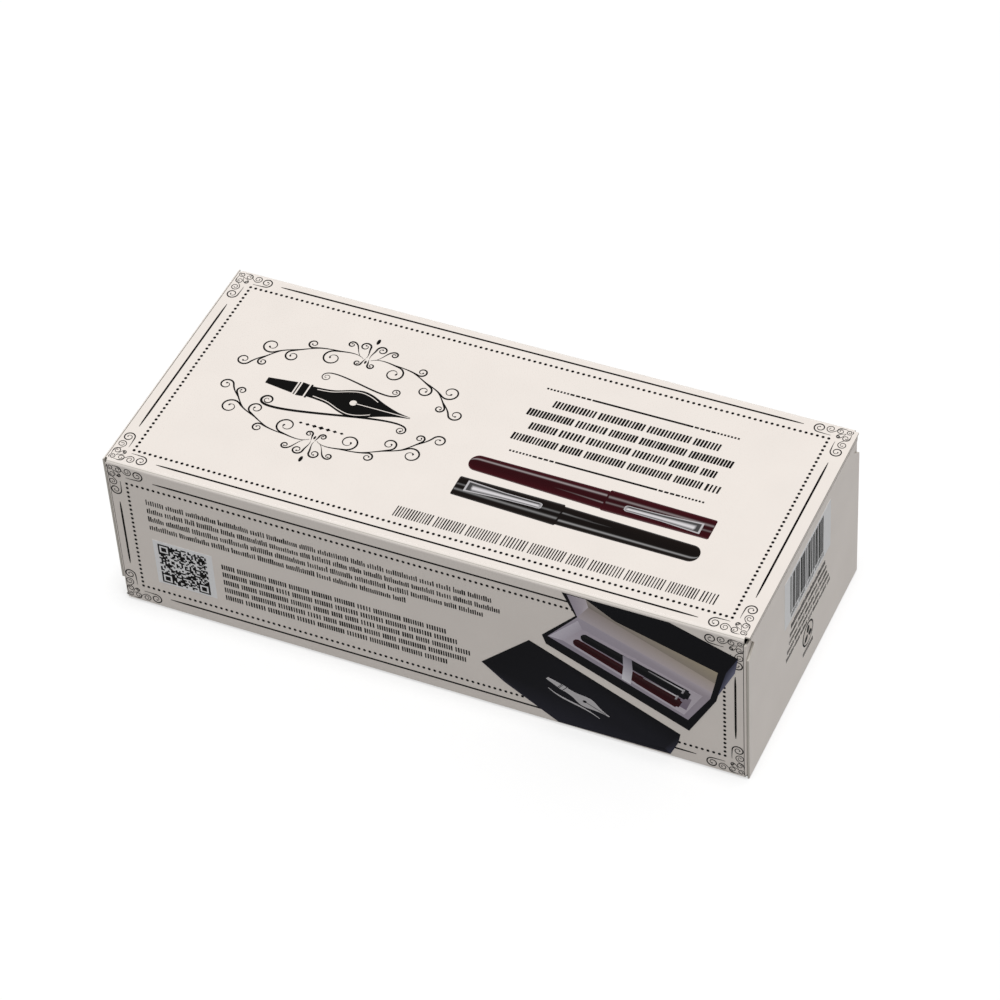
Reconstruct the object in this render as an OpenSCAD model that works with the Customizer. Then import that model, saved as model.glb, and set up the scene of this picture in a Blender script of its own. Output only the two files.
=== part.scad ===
// Tuck-end carton with a lined gift case, two capped fountain pens and their cartridges.
// Millimetres, +Z up, +X to the right end. The origin is the centre of the underside.

/* [Carton] */
// Length of the carton over its end panels
carton_w = 200; // [180:1:240]
// Depth of the carton, front to back
carton_d = 89; // [80:1:110]
// Height of the carton
carton_h = 57.5; // [55:0.5:75]
// Thickness of the printed board
board_t = 0.6; // [0.4:0.05:0.7]
// Outer radius of the four long folds
crease_r = 1.2; // [1:0.1:1.6]
// Width of the glued strip inside the back panel
glue_flap_w = 14; // [10:1:20]

/* [Carton ends] */
// Clearance between two panels that lie on each other
flap_gap = 0.15; // [0.1:0.05:0.3]
// Running clearance in a fold
fold_gap = 0.03; // [0.02:0.01:0.05]
// Distance of an end panel's side edge from the carton's side
closure_inset = 0.4; // [0.3:0.1:0.8]
// Depth of the tuck flap from its fold
tuck_len = 12; // [10:0.5:13]
// Angle by which the tuck flap slopes down at rest
tuck_droop = 13; // [13:1:16]
// Distance of the tuck flap's side edge from the end panel's edge
tuck_inset = 1.6; // [1.4:0.2:4]
// Radius of the tuck flap's free corners
tuck_corner_r = 7; // [3:1:9]
// Reach of a dust flap from its fold
dust_len = 34; // [20:1:38]
// Slope of the dust flap's edge beside the end panel's fold
dust_slope = 30; // [28:1:35]
// Slope of the dust flap's edge under the tuck flap
dust_lean = 6; // [0:1:12]
// Distance of the dust flap from the panel that the end panel folds on
dust_fold_gap = 1.5; // [1.5:0.1:3]
// Distance of the dust flap from the panel that the tuck flap slides under
dust_tuck_gap = 2.8; // [2.6:0.1:5]
// Radius of the dust flap's free corners
dust_corner_r = 4; // [1:0.5:6]
// How far the relief notch cuts into the end panel's side edge
notch_in = 4.4; // [2:0.2:6]
// Distance of the notch's point from the carton's top
notch_point = 5.3; // [4:0.1:7]
// Distance of the notch's far end from the carton's top
notch_end = 8.6; // [8:0.2:14]

/* [Gift case] */
// Height of the case's base
base_h = 24; // [23:0.5:26]
// Height of the case's lid
lid_h = 26; // [22:0.5:27]
// Wall of the case
case_wall = 2.5; // [1.5:0.25:4]
// How far the case's long walls lean in
case_slope = 6; // [4:0.5:8]
// Clearance between the case's end and the tip of a tuck flap
case_tuck_gap = 0.8; // [0.5:0.1:2]
// Room between the case and the carton's sides
case_side_gap = 1.2; // [0.9:0.1:3]
// Room between the case and the dust flaps
case_end_gap = 1.5; // [1:0.25:4]
// Thickness of the case's linings
lining_t = 0.8; // [0.5:0.1:1.5]
// Clearance between a lining and what it lies against
lining_gap = 0.05; // [0.02:0.01:0.1]
// Height of the pen bed
bed_h = 12; // [9:0.5:13]
// Thickness of the case's hinge strip
strip_t = 0.6; // [0.4:0.1:1]
// Height of the case's hinge strip
strip_h = 12; // [8:1:16]
// Width of the band over the pens
band_w = 10; // [5:1:14]
// Thickness of the band over the pens
band_t = 0.5; // [0.3:0.1:1]

/* [Pens] */
// Length of a capped pen
pen_len = 137; // [125:1:145]
// Distance between the two pens
pen_pitch = 18; // [16:0.5:24]
// Length of the cap
cap_len = 58; // [54:1:64]
// Radius of the cap at its mouth
cap_r = 6.5; // [6.3:0.1:7.5]
// Radius of the cap at its closed end
cap_end_r = 6.1; // [5.9:0.1:6.2]
// Radius of the cap's bore
cap_bore_r = 5.6; // [5.5:0.05:5.7]
// Angle of the slanted cut on the cap's end
cap_cut = 28; // [10:1:35]
// Wall of the cap's liner
liner_wall = 0.6; // [0.4:0.1:0.6]
// Radius of the barrel at its mouth
barrel_r = 5.9; // [5.7:0.1:6.2]
// Radius of the barrel's round tail
tail_r = 4.9; // [4.7:0.1:5.4]
// Radius of the barrel's bore
barrel_bore_r = 4; // [3.9:0.05:4.2]
// Visible width of the grip's collar
collar_w = 3.5; // [2:0.5:6]
// Length of the grip beyond its collar
grip_len = 21; // [18:1:24]
// Length of the grip's plug inside the barrel
plug_len = 8; // [5:1:12]
// Radius of the grip at its lip
grip_r = 4.5; // [4.3:0.1:4.8]
// Radius of the grip's bore round nib and feed
nib_seat_r = 3.5; // [3.3:0.05:3.6]
// Radius of the feed's tail
feed_tail_r = 1.9; // [1.6:0.1:2.2]
// Length of nib that stands out of the grip
nib_len = 22; // [18:1:24]
// Thickness of the nib
nib_t = 0.25; // [0.15:0.05:0.3]
// Width of the nib's flat tip
nib_tip_w = 1.5; // [1.1:0.1:2]
// Running clearance between turned pen pieces
turn_gap = 0.05; // [0.02:0.01:0.08]
// Length of the clip
clip_len = 42; // [36:1:44]
// Width of the clip at its root
clip_w = 3.4; // [2.4:0.2:4.4]
// Thickness of the clip
clip_t = 0.6; // [0.4:0.1:1]
// Gap between the clip's arm and the cap
clip_lift = 1; // [0.6:0.1:1.6]
// Length of an ink cartridge
cartridge_len = 38; // [30:1:40]
// Radius of an ink cartridge
cartridge_r = 3.6; // [3.2:0.1:3.8]

/* [Hidden] */

$fn = 64;
eps = 0.01;
board_colour = "#F1E9E3";
board_back_colour = "#D9D5CE";
case_colour = "#17171C";
lining_colour = "#E6DDE4";
steel_colour = "#C9CCD0";
black_pen_colour = "#17120F";
burgundy_pen_colour = "#3A0A14";

// Folds of the right end: the end panel turns on hinge_x, the dust flaps on dust_x
hinge_x = carton_w / 2 - board_t;
dust_x = hinge_x - flap_gap - board_t;
dust_y = carton_d / 2 - board_t;
fold_r = board_t;
closure_w = carton_d - 2 * closure_inset;
closure_h = carton_h - 3 * board_t - flap_gap;
tuck_fold_z = board_t + closure_h;
tuck_w = closure_w - 2 * tuck_inset;
dust_z0 = dust_fold_gap;
dust_z1 = carton_h - dust_tuck_gap;
corner_step = 15;

case_l = 2 * (dust_x - case_end_gap);
case_w = carton_d - 2 * board_t - 2 * case_side_gap;
base_z = board_t;
rim_z = base_z + base_h;
// The case's ends lean in far enough to pass the tip of the tuck flap that lies under it
tuck_tip_x = hinge_x - tuck_len * cos(tuck_droop);
tuck_tip_rise = carton_h - tuck_fold_z + tuck_len * sin(tuck_droop) - base_z;
case_end_slope = (case_l / 2 - tuck_tip_x + case_tuck_gap) / (1 - tuck_tip_rise / base_h);
case_foot = [case_l - 2 * case_end_slope, case_w - 2 * case_slope];
strip_l = case_foot[0];
bed_z = base_z + case_wall + lining_t + 2 * lining_gap;
pen_rise = 1;
pen_z = bed_z + bed_h + pen_rise;
groove_gap = 0.15;
groove_r = cap_r + groove_gap;
groove_end = 1;
band_gap = 0.15;
band_end = 2;
notch_gap = 0.2;

collar_x = pen_len - cap_len - turn_gap - collar_w;
cap_x = pen_len - cap_len;
grip_x = collar_x + collar_w;
grip_end_x = grip_x + grip_len;
nib_tip_x = grip_end_x + nib_len;
feed_tail_len = 4;
feed_tail_x = collar_x - plug_len - feed_tail_len;
feed_step = 2;
feed_x = grip_x + feed_step;
cap_end_wall = 3;
cap_floor_x = pen_len - cap_r - cap_end_wall;
liner_cover = 3;
liner_x = grip_end_x - liner_cover;
clip_root_x = cap_floor_x;
clip_tip_x = clip_root_x - clip_len;
clip_foot = 2;
clip_pad = 2.5;
foot_gap = 0.1;
foot_z = cap_bore_r + foot_gap;
tail_flat_r = 0.2;
seat_w = 4;
waist_in = 0.4;
lip_w = 2;
tongue_len = 15;
nib_root = 7;
nib_slit = 0.1;
vent_r = 0.6;
cartridge_gap = 2;
cartridge_x = feed_tail_x - cartridge_gap - cartridge_len;
cartridge_end_r = 1;
neck_r = 2.5;
neck_w = 4;
// The band ends at the barrels' mouths
band_x = collar_x - pen_len / 2 - band_w;

// Corners of an outline, each rounded by an arc of its own radius
function unit(v) = v / norm(v);
function arc_corner(a, b, c, r) =
    let (u = unit(a - b), v = unit(c - b),
         half = acos(u * v) / 2,
         middle = b + unit(u + v) * r / sin(half),
         start = b + u * r / tan(half) - middle,
         turn = 180 - 2 * half,
         side = (u[0] * v[1] - u[1] * v[0]) > 0 ? -1 : 1,
         steps = ceil(turn / corner_step))
    [for (i = [0:steps])
        let (w = side * turn * i / steps)
        middle + [start[0] * cos(w) - start[1] * sin(w), start[0] * sin(w) + start[1] * cos(w)]];
function rounded(pts, radii) =
    let (n = len(pts))
    [for (i = [0:n - 1])
        each (radii[i] > 0
            ? arc_corner(pts[(i + n - 1) % n], pts[i], pts[(i + 1) % n], radii[i])
            : [pts[i]])];

// Rounded rectangle about the origin
module round_rect(w, h, r) {
    square([w - 2 * r, h], center = true);
    square([w, h - 2 * r], center = true);
    for (x = [-1, 1], y = [-1, 1])
        translate([x * (w / 2 - r), y * (h / 2 - r)])
            circle(r);
}

// Solid along X from x0 to x1 with its outline in Y and Z
module along_x(x0, x1) {
    translate([x0, 0, 0])
        rotate([90, 0, 90])
            linear_extrude(x1 - x0)
                children();
}

// Solid along Y, centred, with its outline in X and Z
module along_y(w) {
    translate([0, w / 2, 0])
        rotate([90, 0, 0])
            linear_extrude(w)
                children();
}

// The left end is the right end turned half over about the carton's middle
module at_left_end() {
    translate([0, 0, carton_h])
        rotate([0, 180, 0])
            children();
}

module both_ends() {
    children();
    at_left_end()
        children();
}

// Room for the fold of an end panel and of both dust flaps
module fold_sockets() {
    translate([hinge_x, 0, board_t])
        rotate([90, 0, 0])
            cylinder(h = carton_d, r = fold_r + fold_gap, center = true);
    for (side = [-1, 1])
        translate([dust_x, side * dust_y, dust_z0 - fold_gap])
            cylinder(h = dust_z1 - dust_z0 + 2 * fold_gap, r = fold_r + fold_gap);
}

module carton_sleeve() {
    plate_w = carton_d - 2 * crease_r;
    color(board_colour)
        difference() {
            union() {
                along_x(-dust_x, dust_x)
                    translate([0, carton_h / 2])
                        difference() {
                            round_rect(carton_d, carton_h, crease_r);
                            round_rect(carton_d - 2 * board_t, carton_h - 2 * board_t,
                                       crease_r - board_t);
                        }
                both_ends() {
                    translate([0, -plate_w / 2, 0])
                        cube([hinge_x, plate_w, board_t]);
                    translate([0, -plate_w / 2, carton_h - board_t])
                        cube([carton_w / 2, plate_w, board_t]);
                }
            }
            both_ends()
                fold_sockets();
        }
}

module carton_glue_flap() {
    color(board_back_colour)
        translate([-dust_x + case_end_gap, dust_y - board_t, crease_r])
            cube([2 * (dust_x - case_end_gap), board_t, glue_flap_w]);
}

// Round edge of a fold about Z, between two angles
module bead(length, from, to) {
    reach = 3 * fold_r;
    intersection() {
        cylinder(h = length, r = fold_r, center = true);
        linear_extrude(length, center = true)
            polygon(concat([[0, 0]],
                [for (i = [0:2]) let (a = from + (to - from) * i / 2) reach * [cos(a), sin(a)]]));
    }
}

// The same about Y, with its angles from +X towards +Z
module cross_bead(length, from, to) {
    rotate([90, 0, 0])
        bead(length, from, to);
}

// End panel with a relief notch in each side edge, below the tuck fold
module closure() {
    half = closure_w / 2;
    notch = [[half, carton_h - notch_end], [half - notch_in, carton_h - notch_point],
             [half - tuck_inset + notch_gap, tuck_fold_z]];
    color(board_colour)
        difference() {
            union() {
                along_x(hinge_x, hinge_x + board_t)
                    polygon(concat([[-half, board_t], [half, board_t]], notch,
                        [for (i = [2:-1:0]) [-notch[i][0], notch[i][1]]]));
                translate([hinge_x, 0, board_t])
                    cross_bead(closure_w, -90, 0);
            }
            translate([hinge_x, 0, tuck_fold_z])
                rotate([90, 0, 0])
                    cylinder(h = carton_d, r = fold_r + fold_gap, center = true);
        }
}

// Flap under the top panel, sloping down from its fold
module tuck_flap() {
    half = tuck_w / 2;
    color(board_colour)
        translate([hinge_x, 0, tuck_fold_z]) {
            cross_bead(tuck_w, 0, 90 + tuck_droop);
            rotate([0, -tuck_droop, 0])
                mirror([1, 0, 0])
                    linear_extrude(board_t)
                        polygon(rounded([[0, -half], [tuck_len, -half], [tuck_len, half], [0, half]],
                                        [0, tuck_corner_r, tuck_corner_r, 0]));
        }
}

// Side -1 keeps what points to +Y, side 1 turns it to -Y
module facing(side) {
    if (side > 0)
        mirror([0, 1, 0])
            children();
    else
        children();
}

// Flap behind the end panel, side -1 on the front panel and 1 on the back panel
module dust_flap(side) {
    low = dust_z0 + dust_len * tan(dust_slope);
    high = dust_z1 - dust_len * tan(dust_lean);
    color(board_colour)
        translate([dust_x, side * dust_y, 0])
            facing(side) {
                along_x(0, board_t)
                    polygon(rounded([[0, dust_z0], [dust_len, low], [dust_len, high], [0, dust_z1]],
                                    [0, dust_corner_r, dust_corner_r, 0]));
                translate([0, 0, (dust_z0 + dust_z1) / 2])
                    bead(dust_z1 - dust_z0, -90, 0);
            }
}

// Lean of the case's end and side walls for each unit of height, in a half that is h high
function case_lean(h) = [case_end_slope, case_slope] / h;

// Foot of a block that stands up by rise in a leaning tray, inset from the tray's outside
function raised_foot(foot, rise, inset, lean) = foot + 2 * (lean * rise - [inset, inset]);

// Block whose ends and sides lean out from its foot
module leaning_block(foot, h, lean) {
    low = foot / 2;
    top = low + lean * h;
    intersection() {
        along_y(2 * top[1])
            polygon([[-low[0], 0], [low[0], 0], [top[0], h], [-top[0], h]]);
        along_x(-top[0], top[0])
            polygon([[-low[1], 0], [low[1], 0], [top[1], h], [-top[1], h]]);
    }
}

// Open tray in that form, its wall measured level
module leaning_tray(foot, h, wall, lean) {
    difference() {
        leaning_block(foot, h, lean);
        translate([0, 0, wall])
            leaning_block(raised_foot(foot, wall, wall, lean), h - wall + eps, lean);
    }
}

module over_rim() {
    translate([0, 0, 2 * rim_z])
        mirror([0, 0, 1])
            children();
}

// Seat of the hinge strip across the rear seam of the case
module strip_seat(gap) {
    translate([-strip_l / 2 - gap, case_w / 2 - 2 * strip_t, rim_z - strip_h / 2 - gap])
        cube([strip_l + 2 * gap, 3 * strip_t, strip_h + 2 * gap]);
}

module case_shell(h) {
    difference() {
        translate([0, 0, rim_z - h])
            leaning_tray(case_foot, h, case_wall, case_lean(h));
        strip_seat(lining_gap);
    }
}

module case_base() {
    color(case_colour)
        case_shell(base_h);
}

module case_lid() {
    color(case_colour)
        over_rim()
            case_shell(lid_h);
}

module case_hinge_strip() {
    color(case_colour)
        translate([-strip_l / 2, case_w / 2 - 2 * strip_t, rim_z - strip_h / 2])
            cube([strip_l, strip_t, strip_h]);
}

// Lining of a half of the case that is h high
module lining(h) {
    rise = case_wall + lining_gap;
    translate([0, 0, rim_z - h + rise])
        leaning_tray(raised_foot(case_foot, rise, rise, case_lean(h)), h - rise, lining_t,
                     case_lean(h));
}

module base_lining() {
    color(lining_colour)
        lining(base_h);
}

module lid_lining() {
    color(lining_colour)
        over_rim()
            lining(lid_h);
}

module at_pen(side) {
    translate([-pen_len / 2, side * pen_pitch / 2, pen_z])
        children();
}

// Padded bed with a groove for each pen
module pen_bed() {
    rise = bed_z - base_z;
    color(lining_colour)
        difference() {
            translate([0, 0, bed_z])
                leaning_block(raised_foot(case_foot, rise, rise, case_lean(base_h)), bed_h,
                              case_lean(base_h));
            for (side = [-1, 1])
                at_pen(side)
                    rotate([0, 90, 0])
                        translate([0, 0, -groove_end])
                            cylinder(h = pen_len + 2 * groove_end, r = groove_r);
        }
}

// Outline round both pens at a distance from their barrels
module round_both_pens(r) {
    for (side = [-1, 1])
        translate([side * pen_pitch / 2, 0])
            circle(r);
    translate([-pen_pitch / 2, -r])
        square([pen_pitch, 2 * r]);
}

// Band over both pens, its ends held between barrel and bed
module pen_band() {
    inner = barrel_r + band_gap;
    outer = inner + band_t;
    color(lining_colour)
        along_x(band_x, band_x + band_w)
            translate([0, pen_z])
                difference() {
                    round_both_pens(outer);
                    round_both_pens(inner);
                    translate([-pen_pitch, -2 * outer])
                        square([2 * pen_pitch, 2 * outer - band_end]);
                }
}

// Round body about X from an outline of radius and place
module turned(pts) {
    rotate([0, 90, 0])
        rotate_extrude()
            polygon(pts);
}

module bore(r, x0, x1) {
    translate([x0, 0, 0])
        rotate([0, 90, 0])
            cylinder(h = x1 - x0, r = r);
}

module barrel(colour) {
    color(colour)
        difference() {
            turned(rounded([[0, 0], [tail_r, 0], [barrel_r, collar_x], [0, collar_x]],
                           [0, tail_r - tail_flat_r, 0, 0]));
            bore(barrel_bore_r, tail_r + barrel_r - barrel_bore_r, collar_x + eps);
        }
}

// Grip with its plug, the collar that shows below the cap, and the lip round the nib
module grip(colour) {
    plug_r = barrel_bore_r - turn_gap;
    seat_r = cap_bore_r - turn_gap;
    waist_r = grip_r - waist_in;
    color(colour)
        difference() {
            turned([[0, collar_x - plug_len], [plug_r, collar_x - plug_len], [plug_r, collar_x],
                    [barrel_r, collar_x], [barrel_r, grip_x], [seat_r, grip_x],
                    [seat_r, grip_x + seat_w], [grip_r, grip_x + 2 * seat_w],
                    [waist_r, grip_end_x - lip_w], [grip_r, grip_end_x - lip_w / 2],
                    [grip_r, grip_end_x], [0, grip_end_x]]);
            bore(feed_tail_r + turn_gap, collar_x - plug_len - eps, feed_x + eps);
            bore(nib_seat_r, feed_x, grip_end_x + eps);
        }
}

// Ink feed: tail, body in the grip, and a finned tongue that rises to the nib
module feed() {
    body_r = nib_seat_r - 2 * turn_gap - nib_t;
    tongue_x = grip_end_x + tongue_len;
    fin_step = tongue_len / 8;
    color(black_pen_colour)
        difference() {
            intersection() {
                union() {
                    bore(feed_tail_r, feed_tail_x, feed_x + turn_gap + eps);
                    bore(body_r, feed_x + turn_gap, tongue_x);
                }
                along_y(2 * body_r)
                    polygon([[feed_tail_x, -body_r], [grip_end_x, -body_r],
                             [tongue_x, body_r / 2], [tongue_x, body_r], [feed_tail_x, body_r]]);
            }
            for (i = [1:5])
                translate([grip_end_x + i * fin_step, -body_r, -2 * body_r])
                    cube([fin_step / 3, 2 * body_r, 2 * body_r - nib_t]);
        }
}

// Curved nib with a flat broad tip, a vent hole and a slit
module nib() {
    outer = nib_seat_r - turn_gap;
    root_x = grip_end_x - nib_root;
    shoulder_x = grip_end_x + nib_len / 3;
    vent_x = grip_end_x + nib_len / 2;
    color(steel_colour)
        difference() {
            intersection() {
                difference() {
                    bore(outer, root_x, nib_tip_x);
                    bore(outer - nib_t, root_x - eps, nib_tip_x + eps);
                }
                translate([0, 0, outer / 3])
                    linear_extrude(outer)
                        polygon([[root_x, -outer], [shoulder_x, -outer],
                                 [nib_tip_x, -nib_tip_w / 2], [nib_tip_x, nib_tip_w / 2],
                                 [shoulder_x, outer], [root_x, outer]]);
            }
            translate([vent_x, 0, 0])
                cylinder(h = 2 * outer, r = vent_r);
            translate([vent_x, -nib_slit / 2, 0])
                cube([nib_len, nib_slit, 2 * outer]);
        }
}

module cartridge() {
    end_x = cartridge_x + cartridge_len;
    color(black_pen_colour)
        turned(rounded([[0, cartridge_x], [cartridge_r, cartridge_x],
                        [cartridge_r, end_x - neck_w], [neck_r, end_x - neck_w / 2],
                        [neck_r, end_x], [0, end_x]],
                       [0, cartridge_end_r, 0, 0, 0, 0]));
}

// Cap with its slanted end and the slot that holds the clip's foot
module cap(colour) {
    color(colour)
        difference() {
            turned([[0, cap_x], [cap_r, cap_x], [cap_end_r, pen_len], [0, pen_len]]);
            bore(cap_bore_r, cap_x - eps, cap_floor_x);
            translate([pen_len, 0, -cap_end_r])
                rotate([0, -cap_cut, 0])
                    translate([0, -2 * cap_r, -cap_r])
                        cube([2 * cap_r, 4 * cap_r, 6 * cap_r]);
            translate([clip_root_x - clip_foot - turn_gap, -clip_w / 2 - turn_gap, foot_z - turn_gap])
                cube([clip_foot + 2 * turn_gap, clip_w + 2 * turn_gap, cap_r]);
        }
}

module cap_liner() {
    outer = cap_bore_r - turn_gap;
    color(black_pen_colour)
        difference() {
            bore(outer, liner_x, cap_floor_x);
            bore(outer - liner_wall, liner_x - eps, cap_floor_x - liner_wall);
        }
}

// Spring clip: foot in the cap, straight arm, and a pad that rests on the cap
module clip() {
    arm_z = cap_r + clip_lift;
    top_z = arm_z + clip_t;
    pad_z = cap_r + turn_gap;
    color(steel_colour)
        intersection() {
            along_y(clip_w)
                polygon([[clip_root_x - clip_foot, foot_z], [clip_root_x, foot_z],
                         [clip_root_x, top_z], [clip_tip_x + clip_t, top_z],
                         [clip_tip_x, arm_z], [clip_tip_x, pad_z],
                         [clip_tip_x + clip_pad, pad_z], [clip_tip_x + clip_pad + clip_lift, arm_z],
                         [clip_root_x - clip_foot, arm_z]]);
            linear_extrude(2 * top_z)
                polygon([[clip_tip_x, -clip_w / 3], [clip_root_x, -clip_w / 2],
                         [clip_root_x, clip_w / 2], [clip_tip_x, clip_w / 3]]);
        }
}

carton_sleeve();
carton_glue_flap();
closure();  // right_closure
tuck_flap();  // right_tuck_flap
dust_flap(-1);  // right_front_dust_flap
dust_flap(1);  // right_back_dust_flap
at_left_end() closure();  // left_closure
at_left_end() tuck_flap();  // left_tuck_flap
at_left_end() dust_flap(-1);  // left_front_dust_flap
at_left_end() dust_flap(1);  // left_back_dust_flap
case_base();
case_lid();
case_hinge_strip();
base_lining();
lid_lining();
pen_bed();
pen_band();
at_pen(1) barrel(black_pen_colour);  // black_pen_barrel
at_pen(1) grip(black_pen_colour);  // black_pen_grip
at_pen(1) feed();  // black_pen_feed
at_pen(1) nib();  // black_pen_nib
at_pen(1) cartridge();  // black_pen_cartridge
at_pen(1) cap(black_pen_colour);  // black_pen_cap
at_pen(1) cap_liner();  // black_pen_cap_liner
at_pen(1) clip();  // black_pen_clip
at_pen(-1) barrel(burgundy_pen_colour);  // burgundy_pen_barrel
at_pen(-1) grip(burgundy_pen_colour);  // burgundy_pen_grip
at_pen(-1) feed();  // burgundy_pen_feed
at_pen(-1) nib();  // burgundy_pen_nib
at_pen(-1) cartridge();  // burgundy_pen_cartridge
at_pen(-1) cap(burgundy_pen_colour);  // burgundy_pen_cap
at_pen(-1) cap_liner();  // burgundy_pen_cap_liner
at_pen(-1) clip();  // burgundy_pen_clip
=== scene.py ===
import math
import random

import bmesh
import bpy
from mathutils import Matrix, Vector


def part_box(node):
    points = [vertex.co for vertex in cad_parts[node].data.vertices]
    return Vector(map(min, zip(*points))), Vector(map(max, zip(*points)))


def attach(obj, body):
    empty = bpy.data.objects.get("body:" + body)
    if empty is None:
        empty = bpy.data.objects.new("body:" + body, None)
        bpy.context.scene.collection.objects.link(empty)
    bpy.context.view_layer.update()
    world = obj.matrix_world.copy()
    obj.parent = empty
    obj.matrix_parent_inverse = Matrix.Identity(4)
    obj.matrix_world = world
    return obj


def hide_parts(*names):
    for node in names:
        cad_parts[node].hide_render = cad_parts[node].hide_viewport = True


bl_info = {
    "name": "Calligraphy set carton",
    "version": (1, 0, 0),
    "blender": (4, 5, 0),
    "location": "View3D > Sidebar > Carton",
    "description": "Dresses a printed tuck-end carton, its gift case and its two pens",
    "category": "Object",
}

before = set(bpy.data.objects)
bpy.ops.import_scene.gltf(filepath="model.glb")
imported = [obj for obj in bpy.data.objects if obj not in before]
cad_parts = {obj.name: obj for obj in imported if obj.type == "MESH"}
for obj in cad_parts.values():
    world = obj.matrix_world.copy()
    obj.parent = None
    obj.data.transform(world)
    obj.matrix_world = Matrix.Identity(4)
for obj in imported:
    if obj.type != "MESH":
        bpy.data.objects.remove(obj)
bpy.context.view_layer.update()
MM = 0.001
# Outer sizes of the closed carton, in millimetres
SLEEVE_LOW, SLEEVE_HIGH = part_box("carton_sleeve")
WIDTH, DEPTH, HEIGHT = [round(x / MM, 4) for x in SLEEVE_HIGH - SLEEVE_LOW]
# An end panel's rounded fold is two boards thick
END_LOW, END_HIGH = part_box("right_closure")
BOARD = round((END_HIGH.x - END_LOW.x) / MM / 2, 4)


def linear(code):
    """Linear values of an sRGB hex colour."""
    channels = [int(code[i:i + 2], 16) / 255 for i in (1, 3, 5)]
    return [c / 12.92 if c <= 0.04045 else ((c + 0.055) / 1.055) ** 2.4 for c in channels]


def opaque(colour):
    """A colour with its alpha, for a colour socket."""
    return [*colour[:3], 1.0]


def add(tree, kind, inputs=None, **options):
    """Adds a node with its options, and fills its inputs with sockets, nodes or values."""
    node = tree.nodes.new(kind)
    for name, value in options.items():
        setattr(node, name, value)
    for key, value in (inputs or {}).items():
        if isinstance(value, bpy.types.Node):
            value = next(o for o in value.outputs if o.enabled)
        if isinstance(value, bpy.types.NodeSocket):
            tree.links.new(value, node.inputs[key])
        else:
            node.inputs[key].default_value = value
    return node


# Sizes and colours


def colour_of(name, description, code):
    """A colour that a user can change, from its sRGB hex value."""
    return bpy.props.FloatVectorProperty(
        name=name, description=description, subtype="COLOR", size=3, min=0, max=1,
        default=linear(code))


def millimetres(name, description, default, low, high):
    """A size that a user can change, given here in millimetres."""
    return bpy.props.FloatProperty(
        name=name, description=description, default=default * MM, min=low * MM, max=high * MM,
        unit="LENGTH", subtype="DISTANCE", precision=5)


class BoardSettings(bpy.types.PropertyGroup):
    coat: colour_of("Coated side", "Colour of the smooth printed side", "#EFE7E0")
    back: colour_of("Back", "Colour of the bare side and the cut edges", "#D6D1C8")
    worn: colour_of("Worn fold", "Colour where the coating is rubbed on a fold", "#F4EDE7")
    fold: millimetres("Fold radius", "Radius of the long folds", 1.2, 0.5, 3)
    cloud: millimetres("Cloud size", "Size of the faint clouds in the coating", 14, 2, 60)
    fibre: millimetres("Fibre size", "Width of the fibres on the bare side", 0.35, 0.1, 2)


class InkSettings(bpy.types.PropertyGroup):
    black: colour_of("Black ink", "Colour of the line printing", "#080707")
    white: colour_of("White patch", "Colour of the patches behind the codes", "#FCFCFD")
    thickness: millimetres("Ink thickness", "Thickness of one printed layer", 0.05, 0.01, 0.2)
    dot: millimetres("Dot", "Diameter of a dot of the dotted frame", 0.94, 0.3, 2)
    dot_pitch: millimetres("Dot pitch", "Distance from dot to dot", 1.74, 0.8, 5)
    rule: millimetres("Rule", "Thickness of the solid rules in their middle", 0.6, 0.1, 1.5)


class PictureSettings(bpy.types.PropertyGroup):
    black_pen: colour_of("Black pen", "Body of the printed black pen", "#130D0B")
    burgundy_pen: colour_of("Burgundy pen", "Body of the printed burgundy pen", "#33080F")
    silver: colour_of("Silver", "Metal in the printed pictures", "#C9C6C8")
    case: colour_of("Case", "Printed gift case", "#0E0E12")


class CaseSettings(bpy.types.PropertyGroup):
    leatherette: colour_of("Leatherette", "Cover of the gift case", "#17171C")
    satin: colour_of("Satin", "Lining and pen bed", "#E6DDE4")
    ribbon: colour_of("Ribbon", "Band over the pens", "#F0EEF2")
    grain: millimetres("Grain", "Size of the leatherette's grain", 0.8, 0.2, 3)
    thread: millimetres("Thread", "Distance between the satin's threads", 0.3, 0.1, 1)
    crown: millimetres("Crown", "How far the pen bed's edges are rounded down", 1.3, 0, 3)


class PenSettings(bpy.types.PropertyGroup):
    black: colour_of("Black lacquer", "Barrel and cap of the black pen", "#17120F")
    burgundy: colour_of("Burgundy lacquer", "Barrel and cap of the burgundy pen", "#3A0A14")
    steel: colour_of("Steel", "Nibs and clips", "#C9CCD0")
    plastic: colour_of("Plastic", "Feeds, liners and cartridges", "#17120F")


class StageSettings(bpy.types.PropertyGroup):
    floor: colour_of("Floor", "Pale floor and backdrop", "#FFFFFF")
    sky: bpy.props.FloatProperty(name="Sky", description="Strength of the even light",
                                 default=0.42, min=0, max=2)
    above: bpy.props.FloatProperty(name="Light from above", description="Soft light from above",
                                   default=1.86, min=0, max=10)
    turn: bpy.props.FloatProperty(name="Camera turn", description="Camera's angle round the box",
                                  default=math.radians(26.67), subtype="ANGLE")
    rise: bpy.props.FloatProperty(name="Camera rise", description="Camera's angle over the floor",
                                  default=math.radians(44.62), subtype="ANGLE")
    roll: bpy.props.FloatProperty(name="Camera roll", description="Camera's lean",
                                  default=math.radians(-4.05), subtype="ANGLE")
    distance: bpy.props.FloatProperty(name="Camera distance", description="Distance to the box",
                                      default=1.118, min=0.3, unit="LENGTH", subtype="DISTANCE")
    lens: bpy.props.FloatProperty(name="Lens", description="Focal length in millimetres",
                                  default=137.2, min=20, unit="CAMERA")


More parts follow.
